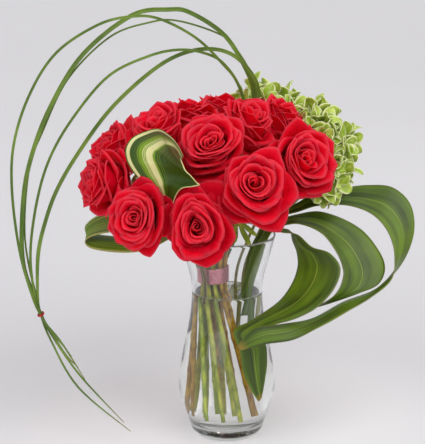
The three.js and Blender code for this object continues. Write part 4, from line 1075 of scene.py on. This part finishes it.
def side_shoot(build, bar, root, axis, draw):
    """A short shoot beside the main whorl, with its own small whorl of leaves."""
    first = unit(np.cross(axis, (0.3, 0.2, 1)))
    bar.tube(smooth_path([root + axis * SHOOT_LENGTH * k for k in (0, 0.5, 1)], 4), SHOOT_RADIUS, 8, 1)
    for inner, direction in whorl(axis, first, SHOOT_LEAVES, 0.25, SHOOT_LEAN, draw):
        length = SPRIG_LEAF_LENGTH * (1.02 - 0.15 * inner + draw.spread(0.1))
        place = root + axis * (3 + 7 * inner)
        sprig_leaf(build, place, direction, axis, length, SPRIG_LEAF_WIDTH * 0.9, draw)


def make_sprig(number, entry, material):
    stalk, aim, seed = entry
    draw, extra = Draw(seed), Draw(seed + 200)
    axis = unit(aim)
    tip = np.array(stalk[-1], float)
    first = unit(np.cross((0, 1, 0), axis))
    build, bar = Build(), Build()
    for inner, direction in whorl(axis, first, SPRIG_LEAVES, 0.2, WHORL_LEAN, draw):
        root = tip + axis * SPRIG_WHORL_HEIGHT * inner
        length = SPRIG_LEAF_LENGTH * (1 - 0.2 * inner + draw.spread(0.08))
        width = SPRIG_LEAF_WIDTH * (1 + draw.spread(0.1)) * 0.88
        sprig_leaf(build, root, direction, axis, length, width, extra)
    # leaves on the stalk below the whorl
    upward = unit(tip - stalk[-2])
    for k in range(SPRIG_EXTRA_LEAVES):
        lean = math.radians(STALK_LEAN[0] + extra.spread(STALK_LEAN[1]))
        direction = leaf_direction(upward, first, k * GOLDEN_ANGLE + 1.1, lean)
        length = SPRIG_LEAF_LENGTH * (0.9 + extra.spread(0.12))
        root = tip - upward * (3 + 24 * k / (SPRIG_EXTRA_LEAVES - 1))
        sprig_leaf(build, root, direction, upward, length, SPRIG_LEAF_WIDTH * 0.85, extra)
    for k in range(SIDE_SHOOTS):
        lean = math.radians(SHOOT_TURN[0] + extra.spread(SHOOT_TURN[1]))
        shoot = leaf_direction(axis, first, k * GOLDEN_ANGLE + 0.6, lean)
        side_shoot(build, bar, tip + upward * (10 - 3 * k), shoot, extra)
    bar.tube(rounded(stalk + [tip + axis * SPRIG_WHORL_HEIGHT], 3, 4), SPRIG_STALK_RADIUS, 10, 1)
    node = f"pittosporum_sprig_{number:02d}"
    build.object(f"sprig_{number:02d}_leaves", "sprig_leaf", node, material, SPRIG_LEAF_THICKNESS)
    bar.object(f"sprig_{number:02d}_stalk", "sprig_leaf", node, material)


# Wire around the bundle

def make_wrap():
    draw = Draw(77)
    build = Build()
    for strand in range(WRAP_STRANDS):
        angle = np.linspace(0, math.tau * WRAP_TURNS, 48 * WRAP_TURNS + 1) + strand * math.pi
        wobble = np.array([draw.spread(WRAP_WOBBLE) for _ in angle])
        wobble = np.convolve(wobble, np.ones(5) / 5, mode="same")
        rise = np.linspace(WRAP_BOTTOM + 0.9, WRAP_TOP - 0.9, len(angle)) + wobble
        path = (*WAIST[:2], 0) + round_axis(WRAP_RADIUS + wobble, angle, rise)
        build.tube(path, WRAP_WIRE_RADIUS, 7, lobes=0.12)
    build.object("wrap_wire", "wrap_wire", "wire_wrap",
                 wire_material("wrap_wire", (0.62, 0.16, 0.22), (0.95, 0.6, 0.66), 1400))


# Stage

def add_light(name, kind, place, settings):
    lamp = bpy.data.lights.new(name, kind)
    for key, value in settings.items():
        setattr(lamp, key, value)
    holder = new_object(name, lamp)
    holder.location = place
    holder.rotation_euler = (Vector(place) - Vector(LIGHT_TARGET)).to_track_quat("Z", "Y").to_euler()


def studio_world():
    """A studio's soft light: dim round the horizon, bright overhead."""
    n = Nodes("studio", "worlds", "Background", Color=WORLD_TINT)
    place = n.put("ShaderNodeTexCoord").outputs["Generated"]
    height = n.put("ShaderNodeSeparateXYZ", {0: place}).outputs[2]
    n.link(n.rise(height, 0, WORLD_RISE, WORLD_LOW, WORLD_HIGH), "Strength")
    return n.owner


def make_stage():
    mesh = bpy.data.meshes.new("floor")
    corners = [(-1, -1), (1, -1), (1, 1), (-1, 1)]
    mesh.from_pydata([(x * FLOOR_REACH, y * FLOOR_REACH, 0) for x, y in corners], [], [(0, 1, 2, 3)])
    floor = new_object("floor", mesh)
    mesh.materials.append(floor_material())
    bpy.context.scene.world = studio_world()
    for name, light in LIGHTS.items():
        add_light(name, *light)
    bpy.context.scene.view_settings.view_transform = "Standard"


def make_camera():
    tilt = math.radians(CAMERA_ELEVATION)
    forward = Vector((0, math.cos(tilt), -math.sin(tilt)))
    data = bpy.data.cameras.new("camera")
    camera = new_object("camera", data)
    camera.location = Vector(CAMERA_TARGET) - forward * CAMERA_DISTANCE
    camera.rotation_euler = forward.to_track_quat("-Z", "Y").to_euler()
    data.sensor_width = SENSOR
    data.lens = SENSOR * FOCAL_PIXELS / IMAGE_HEIGHT
    data.clip_end = CLIP_END
    bpy.context.scene.camera = camera


def make_each(make, entries, material):
    for number, entry in enumerate(entries, 1):
        make(number, entry, material)


make_camera()
make_vase()
make_water()
make_blooms()
make_each(make_stem, ROSES, stem_material())
PLAIN = strap_material()
for side, loop in (("outer", OUTER_LOOP), ("middle", MIDDLE_LOOP), ("inner", INNER_LOOP)):
    make_strap("aspidistra", side, loop, PLAIN)
make_strap("striped", "left", LEFT_LOOP, striped_material())
make_strap("striped", "front", FRONT_LOOP, cream_band_material(), FRONT_CROWN)
make_each(make_grass, GRASS, grass_material())
make_tie()
make_each(make_sprig, SPRIGS, sprig_material())
make_wrap()
make_stage()
bpy.context.view_layer.update()
